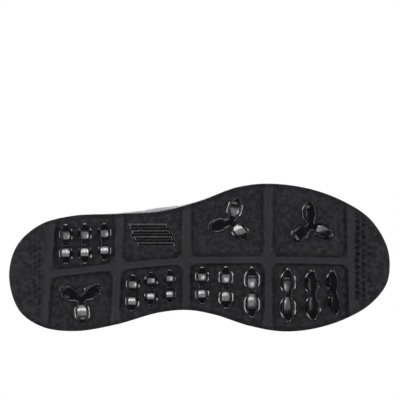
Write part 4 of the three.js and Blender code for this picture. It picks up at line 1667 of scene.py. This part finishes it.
def shell_seam(seam: Seam, rib: Array, rise: Array, distance: float) -> Seam:
    """Runs a seam over the upper at ribs and rises."""
    rib, rise = np.broadcast_arrays(np.asarray(rib, float), np.asarray(rise, float))
    return seam.run(LAST.shell(rib, rise, distance), LAST.outward(rib, rise))


def steady(value: float) -> Callable[[Array], Array]:
    """A limit that is the same all along."""
    return lambda share: np.full_like(np.asarray(share, float), value)


@dataclass
class Padding:
    """Cloth simulation that swells a padded piece."""

    voxel: float = 2.6
    pressure: float = 4.0
    cap: float = 1.2
    frames: int = 20

    def swell(self, piece: bpy.types.Object, held: Callable[[Array], Array]) -> None:
        """Remeshes a piece, blows it up and smooths it.

        Args:
            piece: the piece.
            held: which points stay where they are, from points in millimetres.
        """
        remesh = piece.modifiers.new("even", "REMESH")
        remesh.mode, remesh.voxel_size = "VOXEL", self.voxel * MM
        applied(piece)
        rest = mesh_points(piece)
        group = piece.vertex_groups.new(name="held")
        group.add(np.flatnonzero(held(rest)).tolist(), 1.0, "REPLACE")
        cloth = piece.modifiers.new("cloth", "CLOTH").settings
        cloth.quality = 5
        cloth.mass = 0.2
        cloth.use_pressure = True
        cloth.uniform_pressure_force = self.pressure
        cloth.effector_weights.gravity = 0
        cloth.vertex_group_mass = "held"
        scene = bpy.context.scene
        for frame_number in range(1, self.frames + 1):
            scene.frame_set(frame_number)
        applied(piece)
        piece.vertex_groups.clear()
        moved = mesh_points(piece) - rest
        size = np.linalg.norm(moved, axis=1, keepdims=True)
        moved *= np.minimum(1, self.cap / np.maximum(size, 1e-9))
        move_points(piece, rest + moved)
        scene.frame_set(1)
        smooth = piece.modifiers.new("soften", "SMOOTH")
        smooth.factor, smooth.iterations = 0.5, 4
        piece.modifiers.new("finer", "SUBSURF").levels = 1
        applied(piece)
        piece.data.polygons.foreach_set("use_smooth", [True] * len(piece.data.polygons))


@dataclass
class Upper:
    """Knitted upper with its lining, overlays, collar and pull tab."""

    seam_rib: float = 3.85
    seam_half: float = 0.012
    shell: tuple[float, float] = (2.2, 3.3)
    overlay: tuple[float, float] = (3.6, 4.6)
    overlay_seat: float = 0.32
    thread_lift: float = 0.05
    facing: tuple[float, float] = (0.35, 6.55)
    saddle: tuple[float, float] = (5.7, 7.5)
    saddle_top: float = 0.74
    saddle_lean: float = -0.4
    toe_guard: tuple[float, float] = (-3.7, 3.7)
    heel_cap: tuple[float, float] = (8, 12)
    toe_turn: float = 50
    cushion: float = 6.2
    cushion_span: tuple[float, float] = (7, 13)
    cushion_back: float = -0.45
    channels: tuple[float, ...] = (0.76, 0.88)
    channel_depth: float = 1.5
    binding_sides: int = 14
    tab_height: float = 13
    tab_thickness: float = 1.5
    tab_span: tuple[float, float] = (9.78, 10.22)

    def facing_low(self, a: Array) -> Array:
        """Lower edge of the throat facing."""
        return 0.84 - 0.06 * a

    def facing_low_outer(self, a: Array) -> Array:
        """Lower edge of the outer side's facing, which runs the other way."""
        return self.facing_low(1 - a)

    @staticmethod
    def toe_top(a: Array) -> Array:
        """Upper edge of the toe guard."""
        return 0.17 + 0.2 * np.abs(np.sin(math.pi * a)) ** 1.5

    @staticmethod
    def heel_top(a: Array) -> Array:
        """Upper edge of the heel cap."""
        return 0.34 + 0.4 * np.sin(math.pi * a) ** 2

    def panels(self) -> list[Panel]:
        """Every panel of the shell and its overlays.

        Returns:
            The panels, from the toe.
        """
        s, h, seat = self.seam_rib, self.seam_half, self.overlay_seat
        found = [
            Panel("vamp_knit", "vamp", KNIT, self.shell, (h - s, s - h), steady(0), steady(1),
                  turn_height=self.toe_turn),
            Panel("toe_guard_film", "toe_guard", FILM, self.overlay, self.toe_guard, steady(0),
                  self.toe_top, seat=seat, turn_height=self.toe_turn),
            Panel("heel_cap_film", "heel_cap", FILM, self.overlay, self.heel_cap, steady(0),
                  self.heel_top, seat=seat),
        ]
        for side in ("inner", "outer"):
            quarter, low, lean = (s + h, 10 - h), self.facing_low, self.saddle_lean
            spans = [quarter, self.facing, self.saddle]
            if side == "outer":
                spans = [(LAST.ribs - b, LAST.ribs - a) for a, b in spans]
                low, lean = self.facing_low_outer, -lean
            found += [
                Panel(f"quarter_{side}_knit", f"quarter_{side}", KNIT, self.shell, spans[0],
                      steady(0), steady(1)),
                Panel(f"throat_facing_{side}_leather", f"throat_facing_{side}", HIDE, self.overlay,
                      spans[1], low, steady(1), seat=seat),
                Panel(f"saddle_{side}_leather", f"saddle_{side}", HIDE, self.overlay, spans[2],
                      steady(0), steady(self.saddle_top), lean, seat),
            ]
        return found

    def lining(self) -> bpy.types.Object:
        """Makes the lining all round.

        Returns:
            The lining.
        """
        rib, rise = np.meshgrid(np.arange(300) / 15, np.linspace(0, 1, 40), indexing="xy")
        outer, inner = LAST.shell(rib, rise, 0.9), LAST.shell(rib, rise, 0.0)
        solid = Solid.rings([*outer, *inner[::-1], outer[0]])
        return place(make_piece("lining_cloth_mesh", solid, merge=True), LINING, stands_for=["lining"])

    def collar(self) -> bpy.types.Object:
        """Makes the padded collar, swollen and quilted.

        Returns:
            The cushion.
        """
        a, raised_u = clustered(90, 180, 3)
        b, raised_v = clustered(16, 36, 3)
        first, last = self.cushion_span
        rib, rise = np.meshgrid(first + (last - first) * a, 0.64 + 0.35 * b, indexing="ij")
        roll = np.sin(math.pi * np.clip((rise - 0.62) / 0.4, 0.1, 0.9))
        ends = np.minimum(1, 0.25 + 6 * np.minimum(a, 1 - a))[:, None]
        raised = 0.35 + 0.65 * np.minimum(raised_u[:, None], raised_v)
        deep = -SHARED.gap - 1.2 - (self.cushion - 2.6) * roll * ends * raised
        back = LAST.shell(rib, rise, self.cushion_back)
        piece = make_piece("collar_cushion_padded", Solid.slab(back, LAST.shell(rib, rise, deep)))
        Padding(cap=1.3).swell(piece, lambda at: nearest(at, back.reshape(-1, 3)) < 1.1)
        self.quilt(piece)
        at = mesh_points(piece)
        set_mark(piece, "weave", np.column_stack([weave_of(at, 200), at[:, 2]]))
        return place(piece, PAD_CLOTH, stands_for=["collar_cushion"])

    def quilt(self, piece: bpy.types.Object) -> None:
        """Sinks sewn channels into the collar cushion.

        Args:
            piece: the cushion.
        """
        at = mesh_points(piece)
        rib = np.linspace(self.cushion_span[0] + 0.2, self.cushion_span[1] - 0.2, 260)
        move = np.zeros_like(at)
        for rise in self.channels:
            line, out = LAST.wall(rib, rise), LAST.outward(rib, np.full_like(rib, rise))
            gap = np.linalg.norm(at[:, None] - line[None], axis=2)
            near = gap.argmin(1)
            reach = np.linalg.norm(np.cross(at - line[near], out[near]), axis=1)
            inside = ((at - line[near]) * out[near]).sum(1) < -1.6
            sink = np.where(inside, self.channel_depth * band(reach, 0, 1.5), 0)
            move += out[near] * sink[:, None]
        move_points(piece, at + move)

    def binding(self) -> bpy.types.Object:
        """Makes the rolled binding round the whole opening.

        Returns:
            The binding.
        """
        rib, sides = np.linspace(0, LAST.ribs, 361)[:-1], self.binding_sides
        top = LAST.wall(rib, 1.0)
        up = unit(top - LAST.wall(rib, 0.985))
        out = LAST.outward(rib, np.ones_like(rib))
        around = np.arange(sides) * 2 * math.pi / sides
        across, lift = 2.05 * np.cos(around)[:, None], 1.15 * np.sin(around)[:, None] - 0.15
        ring = (top + out * 1.65)[:, None] + across * out[:, None] + lift * up[:, None]
        piece = make_piece("collar_binding", Solid.tube(ring, closed=True))
        along, round_it = np.repeat(lengths_along(top), sides), np.tile(around * 1.6, len(rib))
        set_mark(piece, "weave", np.stack([along, round_it, np.ones_like(along)], -1))
        return place(piece, WEBBING)

    def pull_tab(self) -> bpy.types.Object:
        """Makes the webbing loop over the collar at the heel.

        Returns:
            The loop.
        """
        inside, outside = -SHARED.gap * 2 - self.cushion, self.shell[1] + SHARED.gap
        middle, reach, arm = (inside + outside) / 2, (outside - inside) / 2, 0.3
        b = np.linspace(0, 1, 70)
        rib = np.linspace(*self.tab_span, 13)
        up, down = b <= arm, b >= 1 - arm
        turn = math.pi * np.clip((b - arm) / (1 - 2 * arm), 0, 1)
        rise = np.where(up, 0.82 + 0.18 * b / arm, np.where(down, 1 - 0.1 * (b - 1 + arm) / arm, 1.0))
        faces = []
        for thick in (0.0, self.tab_thickness):
            bend = middle + (reach + thick) * np.cos(turn)
            distance = np.where(up, outside + thick, np.where(down, inside - thick, bend))
            lift = (self.tab_height - self.tab_thickness + thick) * np.sin(turn) * ~(up | down)
            face = LAST.shell(rib[:, None], rise[None], distance[None])
            face[..., 2] += lift
            faces.append(face)
        piece = make_piece("heel_pull_tab_webbing", Solid.slab(faces[1], faces[0]))
        u, v = np.meshgrid(rib * Panel.rib_length, lengths_along(faces[1][6]), indexing="ij")
        set_mark(piece, "weave", np.concatenate([np.stack([u, v, np.ones_like(u)], -1).reshape(-1, 3)] * 2))
        return place(piece, WEBBING, stands_for=["heel_pull_tab"])

    def seams(self) -> None:
        """Sews the panels down."""
        on_overlay, on_shell = self.overlay[1] + self.thread_lift, self.shell[1] + self.thread_lift
        for side in ("inner", "outer"):
            def turned(rib: Array) -> Array:
                """Ribs of this side, from ribs of the inner side."""
                return rib if side == "inner" else LAST.ribs - rib

            a = np.linspace(0.02, 0.98, 200)
            facing, front = Seam(f"stitching_facing_{side}"), turned(self.facing[0] + 6.2 * a)
            for rise in (self.facing_low(a) + 0.022, self.facing_low(a) + 0.045, np.full_like(a, 0.965)):
                shell_seam(facing, front, rise, on_overlay)
            facing.build()
            saddle = Seam(f"stitching_saddle_{side}")
            rise = np.linspace(0.04, self.saddle_top - 0.01, 120)
            lean = self.saddle_lean if side == "inner" else -self.saddle_lean
            fore, rear = self.saddle
            for base in (fore + 0.09, fore + 0.17, rear - 0.09, rear - 0.17):
                shell_seam(saddle, turned(base) + lean * rise, rise, on_overlay)
            saddle.build()
            join = Seam(f"stitching_vamp_{side}")
            rise = np.linspace(0.2, 0.83, 120)
            for base in (self.seam_rib - 0.09, self.seam_rib + 0.09):
                shell_seam(join, turned(np.full_like(rise, base)), rise, on_shell)
            join.build()
        a = np.linspace(0.03, 0.97, 260)
        first, last = self.heel_cap
        heel = Seam("stitching_heel_cap")
        for drop in (0.02, 0.042):
            shell_seam(heel, first + (last - first) * a, self.heel_top(a) - drop, on_overlay)
        heel.build()
        collar = Seam("stitching_collar")
        shell_seam(collar, np.linspace(6.7, 13.3, 400), np.full(400, 0.955), on_shell)
        collar.build()

    def build(self) -> None:
        """Makes the whole upper."""
        self.lining()
        for panel in self.panels():
            panel.build()
        self.collar()
        self.binding()
        self.pull_tab()
        self.seams()


def nearest(at: Array, others: Array) -> Array:
    """Distance from each point to the nearest of others.

    Args:
        at: the points.
        others: the others.

    Returns:
        The distances.
    """
    tree = KDTree(len(others))
    for k, p in enumerate(others):
        tree.insert(p, k)
    tree.balance()
    return np.array([tree.find(p)[2] for p in at])


@dataclass
class Instep:
    """Padded tongue and the closure strap with its patches."""

    thickness: float = 5.2
    drop: float = 1.6
    lap: float = 0.13
    middle: float = 4.66
    strap: tuple[float, float] = (5.9, 7.7)
    hook: tuple[float, float] = (4.9, 5.6)
    anchor: tuple[float, float] = (3.6, 5.2)
    root: float = 0.6
    tip: float = 2.46
    tip_round: float = 0.10
    hook_span: tuple[float, float] = (2.25, 2.41)
    loop: tuple[float, float] = (3.6, 4.6)
    loop_span: tuple[float, float] = (2.24, 2.53)
    anchor_span: tuple[float, float] = (0.45, 0.72)
    overlay_seat: float = 0.32
    thread_lift: float = 0.05
    rise_length: float = 80  # about how long a rise of 1 is over the instep
    half_tape: float = 18
    tongue_front: float = 3.0
    tongue_back: float = 6.2
    tongue_columns: int = 33
    free_top: tuple[tuple[float, ...], ...] = (  # shift along X, Y and Z, share of the width, arch
        (-6.5, 2.2, 6.5, 0.78, 0.95), (-12, 3.4, 13, 0.82, 0.74), (-17, 3.6, 19, 1.02, 0.55),
        (-20.5, 3.6, 24, 1.04, 0.45), (-22, 3.6, 26.5, 0.86, 0.4),
    )

    def tongue_grid(self, thin: float) -> tuple[Array, Array]:
        """Outer and inner faces of the tongue on a fine grid.

        Args:
            thin: how much is taken off each face.

        Returns:
            The two faces.
        """
        front, back = self.tongue_front, self.tongue_back
        toe, start = LAST.throat(0), LAST.throat(front)
        keys = [(front, *(toe + (16, 0, -4) - start), 0.62, 1), (front, *(toe - start), 0.74, 1),
                (front, *(LAST.throat(1.8) - start), 0.9, 1)]
        keys += [(front + (back - front) * k / 6, 0, 0, 0, 1, 1) for k in range(7)]
        keys += [(back, *row) for row in self.free_top]
        at, places = np.linspace(0, len(keys) - 1, 78), np.arange(len(keys))
        rib, *move, width, arch = (np.interp(at, places, column) for column in np.array(keys, float).T)
        s, middle = np.linspace(-1, 1, self.tongue_columns), self.tongue_columns // 2
        rise = 1.5 + s * (0.5 + self.lap) * np.where(np.abs(s) > 0.7, 1, 0.96)
        centre = np.array([LAST.throat(r)[1] for r in rib])[:, None]
        crown = LAST.over(rib, np.full_like(rib, 1.5), -self.drop)[:, None, 2]
        outer, inner = (
            LAST.over(rib[:, None], rise[None], (-self.drop - depth * (1 - 0.5 * s**4))[None])
            for depth in (thin, self.thickness - thin))
        flat = 1 - arch[:, None, None]
        depth = inner - outer
        level = depth[:, middle:middle + 1] * (1 - 0.3 * s**4)[None, :, None]
        depth = depth * (1 - flat) + level * flat
        outer[..., 1] = centre + (outer[..., 1] - centre) * width[:, None]
        outer[..., 2] = crown + (outer[..., 2] - crown) * arch[:, None]
        outer += np.stack(move, -1)[:, None]
        return outer, outer + depth

    def tongue(self) -> bpy.types.Object:
        """Makes the padded tongue.

        Returns:
            The tongue.
        """
        outer, inner = self.tongue_grid(0.5)
        piece = make_piece("tongue_padded", Solid.slab(outer, inner))
        rows = outer[:14].reshape(-1, 3)
        Padding(voxel=1.3, pressure=3, cap=0.6).swell(piece, lambda at: nearest(at, rows) < 7)
        at = mesh_points(piece)
        set_mark(piece, "weave", np.column_stack([at[:, 0] + 0.4 * at[:, 2], at[:, 1], at[:, 2]]))
        return place(piece, PAD_CLOTH, stands_for=["tongue"])

    def width(self, rise: Array) -> Array:
        """Half width of the strap, in ribs."""
        return 0.52 + 0.1 * np.sin(math.pi * np.clip((rise - 0.7) / 1.6, 0, 1))

    def wider(self, more: float) -> Callable[[Array], Array]:
        """Half width of a piece that is wider than the strap all along, in ribs."""
        return lambda rise: self.width(rise) + more

    def tipped(self, rise: Array) -> Array:
        """Half width of the strap with its rounded tip, in ribs."""
        far = np.clip((rise - self.tip + self.tip_round) / self.tip_round, 0, 1)
        return self.width(rise) * (0.55 + 0.45 * np.sqrt(np.maximum(0, 1 - far**2.4)))

    def tape(
        self, name: str, node: str, finish: Finish, layer: tuple[float, float], span: tuple[float, float],
        half: Callable[[Array], Array], body: str, seat: float = 0
    ) -> bpy.types.Object:
        """Makes a flat piece over the instep.

        Args:
            name: the piece's name.
            node: the node that it stands for.
            finish: its finish.
            layer: distances outward of its two faces.
            span: rises that it runs between.
            half: half width in ribs, along it.
            body: the body that it rides on.
            seat: how far its lower face sinks.

        Returns:
            The piece.
        """
        length = (span[1] - span[0]) * self.rise_length
        a, raised_a = clustered(max(8, round(length / 2)), length, 1.4)
        b, raised_b = clustered(15, 2 * self.half_tape, 1.4)
        rise = span[0] + (span[1] - span[0]) * a
        rib = self.middle + half(rise)[:, None] * (2 * b - 1)
        raised = np.minimum(raised_a[:, None], raised_b)
        grid_rise = np.broadcast_to(rise[:, None], rib.shape)
        low, high = layer[0] - seat, layer[1]
        face = low + (high - low) * (0.15 + 0.85 * raised)
        outer, inner = LAST.over(rib, grid_rise, face), LAST.over(rib, grid_rise, low)
        piece = make_piece(name, Solid.slab(outer, inner))
        u, v = np.broadcast_arrays(rise[:, None] * self.rise_length, (2 * b - 1) * self.half_tape)
        mark = np.stack([v, u, raised * Panel.edge_mark], -1).reshape(-1, 3)
        set_mark(piece, "weave", np.concatenate([mark, mark]))
        return place(piece, finish, body, [node])

    def strap_seam(self, inset: float, span: tuple[float, float]) -> None:
        """Sews round the strap.

        Args:
            inset: how far in from its sides, in ribs.
            span: rises of its end rows.
        """
        seam, layer = Seam("stitching_strap"), self.strap[1] + self.thread_lift
        along = np.linspace(*span, 160)
        rows = [(self.middle + side * (self.width(along) - inset), along) for side in (-1, 1)]
        for end in span:
            w = float(self.width(np.array(end))) - inset
            rows.append((np.linspace(self.middle - w, self.middle + w, 40), np.full(40, end)))
        for rib, rise in rows:
            low = LAST.over(rib, rise, layer)
            seam.run(low, unit(LAST.over(rib, rise, layer + 1) - low))
        seam.build("strap")

    def build(self) -> None:
        """Makes the tongue, the strap and its patches."""
        self.tongue()
        self.tape("closure_strap_leather", "closure_strap", HIDE, self.strap, (self.root, self.tip),
                  self.tipped, "strap")
        self.tape("strap_hook_patch_tape", "strap_hook_patch", HOOKS, self.hook, self.hook_span,
                  self.wider(-0.08), "strap")
        self.tape("strap_loop_patch_tape", "strap_loop_patch", LOOPS, self.loop, self.loop_span,
                  self.wider(0.02), "shoe", self.overlay_seat)
        self.tape("strap_anchor_leather", "strap_anchor", HIDE, self.anchor, self.anchor_span,
                  self.wider(0.06), "shoe", self.overlay_seat)
        self.strap_seam(0.07, (self.root + 0.04, self.tip - 0.11))


@dataclass
class Footbed:
    """Lift-out insole: foam cup with a cloth cover."""

    play: float = 1.4
    board: float = 1.6
    foam: float = 4.2
    cover: float = 0.8
    cup_height: float = 5
    cup_front: float = 10
    cup_run: float = 90
    crest: float = 1.2
    flat: float = 11
    pitch: float = 1.8
    middle_shares: tuple[float, ...] = (0.25, 0.6, 1)

    def sheet(self, level: float, cup: float = 0) -> Callable[[Array], Array]:
        """Heights of a face of the insole.

        Args:
            level: its distance above the foam's lower face.
            cup: how much of the heel cup's height it has.

        Returns:
            What gives its height along x.
        """
        def height(x: Array) -> Array:
            """Height of the face."""
            rim = self.cup_height * ease((self.cup_front - x) / self.cup_run)
            return LAST.bed(x) + 2 * SHARED.gap + self.board + level + rim * cup

        return height

    def build(self) -> None:
        """Makes the foam and the cover."""
        columns = SoleColumns(self.pitch, 12)
        inset = SHARED.feather_inset + self.play
        crest, flat = inset + self.crest, inset + self.flat
        fall = (0.25, 0.5, 0.75)

        def slope(level: float, shares: Sequence[float]) -> list[Array]:
            """Rings down the inside of the heel cup."""
            return [columns.ring(crest + (flat - crest) * k, self.sheet(level, 1 - k)) for k in shares]

        def middle(ring: Array, level: float) -> list[Array]:
            """Rings from the flat's edge to the middle."""
            return [columns.inner(share, ring, self.sheet(level)) for share in self.middle_shares]

        bottom = columns.ring(inset + 1, self.sheet(0))
        upper = columns.ring(flat, self.sheet(self.foam))
        rings = [*middle(bottom, 0)[::-1], bottom]
        for further, level, cup in ((0.1, 1.5, 0), (0, self.foam - 0.6, 1), (0.4, self.foam - 0.15, 1)):
            rings.append(columns.ring(inset + further, self.sheet(level, cup)))
        rings += [*slope(self.foam, (0, *fall)), upper, *middle(upper, self.foam)]
        foam = make_piece("insole_foam_cup", Solid.rings(rings), merge=True)
        place(foam, CUP_FOAM, "insole", ["insole_foam"])
        under, above = self.foam + SHARED.gap, self.foam + SHARED.gap + self.cover
        low_ring, high_ring = columns.ring(flat, self.sheet(under)), columns.ring(flat, self.sheet(above))
        rings = [*middle(low_ring, under)[::-1], low_ring, *slope(under, (0, *fall))[::-1]]
        rings += [*slope(above, (0, *fall)), high_ring, *middle(high_ring, above)]
        cover = make_piece("insole_cover_cloth_top", Solid.rings(rings), merge=True)
        place(cover, COVER, "insole", ["insole_cover"])


@dataclass
class Inside:
    """Stiff and foam parts between the layers, kept as the frame has them."""

    finishes: tuple[tuple[str, Finish], ...] = (
        ("shank_plate", SHANK), ("strobel_board", BOARD), ("toe_puff", BOARD), ("heel_counter", BOARD),
        ("foam_backing_inner", BACKING), ("foam_backing_outer", BACKING),
    )

    def build(self) -> None:
        """Gives each of them its material."""
        for node, finish in self.finishes:
            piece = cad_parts[node]
            for slot in piece.material_slots:
                slot.material = finish.material()
            LOG.info("%s: finished in %s", node, finish.name)


# ---- Studio ----
@dataclass(frozen=True)
class Light:
    """Soft rectangular light."""

    name: str
    at: tuple[float, float, float]
    aim: tuple[float, float, float]
    size: tuple[float, float]
    radiance: float

    def build(self) -> bpy.types.Object:
        """Makes the light.

        Returns:
            The light.
        """
        data = bpy.data.lights.new(self.name, "AREA")
        data.shape, (data.size, data.size_y) = "RECTANGLE", self.size
        data.energy = self.radiance * math.pi * self.size[0] * self.size[1]
        made = bpy.data.objects.new(self.name, data)
        bpy.context.scene.collection.objects.link(made)
        made.location = self.at
        back = unit(np.array(self.at) - np.array(self.aim))
        side = unit(np.cross((0, 1, 0), back)) if abs(back[1]) < 0.9 else np.array((1.0, 0, 0))
        made.rotation_euler = Matrix(np.stack([side, np.cross(back, side), back], 1).tolist()).to_euler()
        made.visible_camera = False
        return made


@dataclass
class Studio:
    """Camera below the sole, soft lights, white surroundings and a pale floor."""

    centre: tuple[float, float] = (0.0001, -0.0452)
    sole_z: float = 0.0035
    view_width: float = 0.3138
    lens: float = 300
    sensor: float = 36
    floor_size: float = 20
    below: float = -1.2
    ambient: float = 0.05

    def lights(self) -> list[Light]:
        """The studio's lights: the broad panels below, their brighter cores just above them.

        Returns:
            The lights.
        """
        down = self.below
        return [
            Light("key_below", (-0.34, -0.63, down), (-0.34, -0.63, 0), (1.0, 0.75), 2.3),
            Light("key_core", (-0.36, -0.66, down + 0.02), (-0.36, -0.66, 0), (0.96, 0.24), 8),
            Light("key_wing", (0.24, -0.63, down), (0.24, -0.63, 0), (0.16, 0.75), 1.3),
            Light("fill_below", (-0.06, 0.70, down), (-0.06, 0.70, 0), (0.52, 0.61), 2.0),
            Light("fill_core", (0.05, 0.68, down + 0.02), (0.05, 0.68, 0), (0.14, 0.30), 6),
            Light("fill_wing", (0.26, 0.70, down), (0.26, 0.70, 0), (0.12, 0.61), 1.0),
            Light("strip_heel", (-1.3, 0, -0.33), (0, 0, -0.02), (0.55, 2.3), 5.2),
            Light("strip_toe", (1.3, 0, -0.33), (0, 0, -0.02), (0.55, 2.3), 5.2),
            Light("key_above", (-0.7, -1.1, 1.5), (0, 0, 0.05), (1.3, 1.3), 6),
            Light("fill_above", (0.9, 1.2, 1.2), (0, 0, 0.05), (1.2, 1.2), 4),
            Light("sky_above", (0, 0, 2.2), (0, 0, 0), (4, 4), 0.5),
        ]

    def camera(self) -> bpy.types.Object:
        """Makes the camera.

        Returns:
            The camera.
        """
        data = bpy.data.cameras.new("camera")
        data.lens, data.sensor_width = self.lens, self.sensor
        made = bpy.data.objects.new("camera", data)
        bpy.context.scene.collection.objects.link(made)
        distance = self.view_width * self.lens / self.sensor
        made.location = (*self.centre, self.sole_z - distance)
        made.rotation_euler = (math.pi, 0, 0)
        data.clip_start, data.clip_end = 0.01, 50
        bpy.context.scene.camera = made
        return made

    def world(self) -> None:
        """White surroundings for the camera and dimmer ones for everything else."""
        recipe = Recipe(bpy.data.worlds.new("surroundings"))
        backs = [
            recipe.value("ShaderNodeBackground", {"label": name}, {"Color": (level, level, level, 1)})
            for level, name in ((self.ambient, "seen by the shoe"), (1.0, "seen by the camera"))]
        ray = recipe.value("ShaderNodeLightPath", {}, {}, "Is Camera Ray")
        mix = recipe.value("ShaderNodeMixShader", {}, {0: ray, 1: backs[0], 2: backs[1]})
        recipe.node("ShaderNodeOutputWorld", {}, {"Surface": mix})
        bpy.context.scene.world = recipe.owner

    def floor(self) -> bpy.types.Object:
        """Makes the floor, which shows only from above.

        Returns:
            The floor.
        """
        s = self.floor_size
        n = 9
        u, v = np.meshgrid(np.linspace(-s, s, n), np.linspace(-s, s, n), indexing="ij")
        points = np.stack([u, v, np.full_like(u, -0.0006)], -1).reshape(-1, 3) / MM
        floor = make_piece("floor", Solid(points, grid(n, n)[:, ::-1].tolist()))
        if floor.data.polygons[0].normal.z < 0:
            floor.data.flip_normals()
        recipe = Recipe(bpy.data.materials.new("pale_floor"))
        cloud = recipe.noise(recipe.place(), 3, 2)
        shader = recipe.value("ShaderNodeBsdfPrincipled", {}, {
            "Base Color": recipe.blend(cloud, (0.15, 0.15, 0.153), (0.17, 0.17, 0.173)), "Roughness": 0.9,
            "Emission Color": (0.80, 0.80, 0.81, 1), "Emission Strength": 1.0})
        clear = recipe.value("ShaderNodeBsdfTransparent", {}, {})
        side = recipe.value("ShaderNodeNewGeometry", {}, {}, "Backfacing")
        mix = recipe.value("ShaderNodeMixShader", {}, {0: side, 1: shader, 2: clear})
        recipe.node("ShaderNodeOutputMaterial", {}, {"Surface": mix})
        floor.data.materials.append(recipe.owner)
        floor.visible_shadow = floor.visible_diffuse = floor.visible_glossy = False
        floor.visible_transmission = False
        return floor

    def build(self) -> None:
        """Sets the studio up."""
        bpy.context.scene.view_settings.view_transform = "Standard"
        self.camera()
        self.world()
        self.floor()
        for light in self.lights():
            light.build()


def main() -> None:
    """Builds the shoe and its studio in order."""
    logging.basicConfig(level=logging.INFO, format="%(name)s %(message)s")
    Studio().build()
    Outsole().build()
    Lugs().build()
    Midsole().build()
    Footbed().build()
    Inside().build()
    Upper().build()
    Instep().build()


if __name__ == "__main__":
    main()
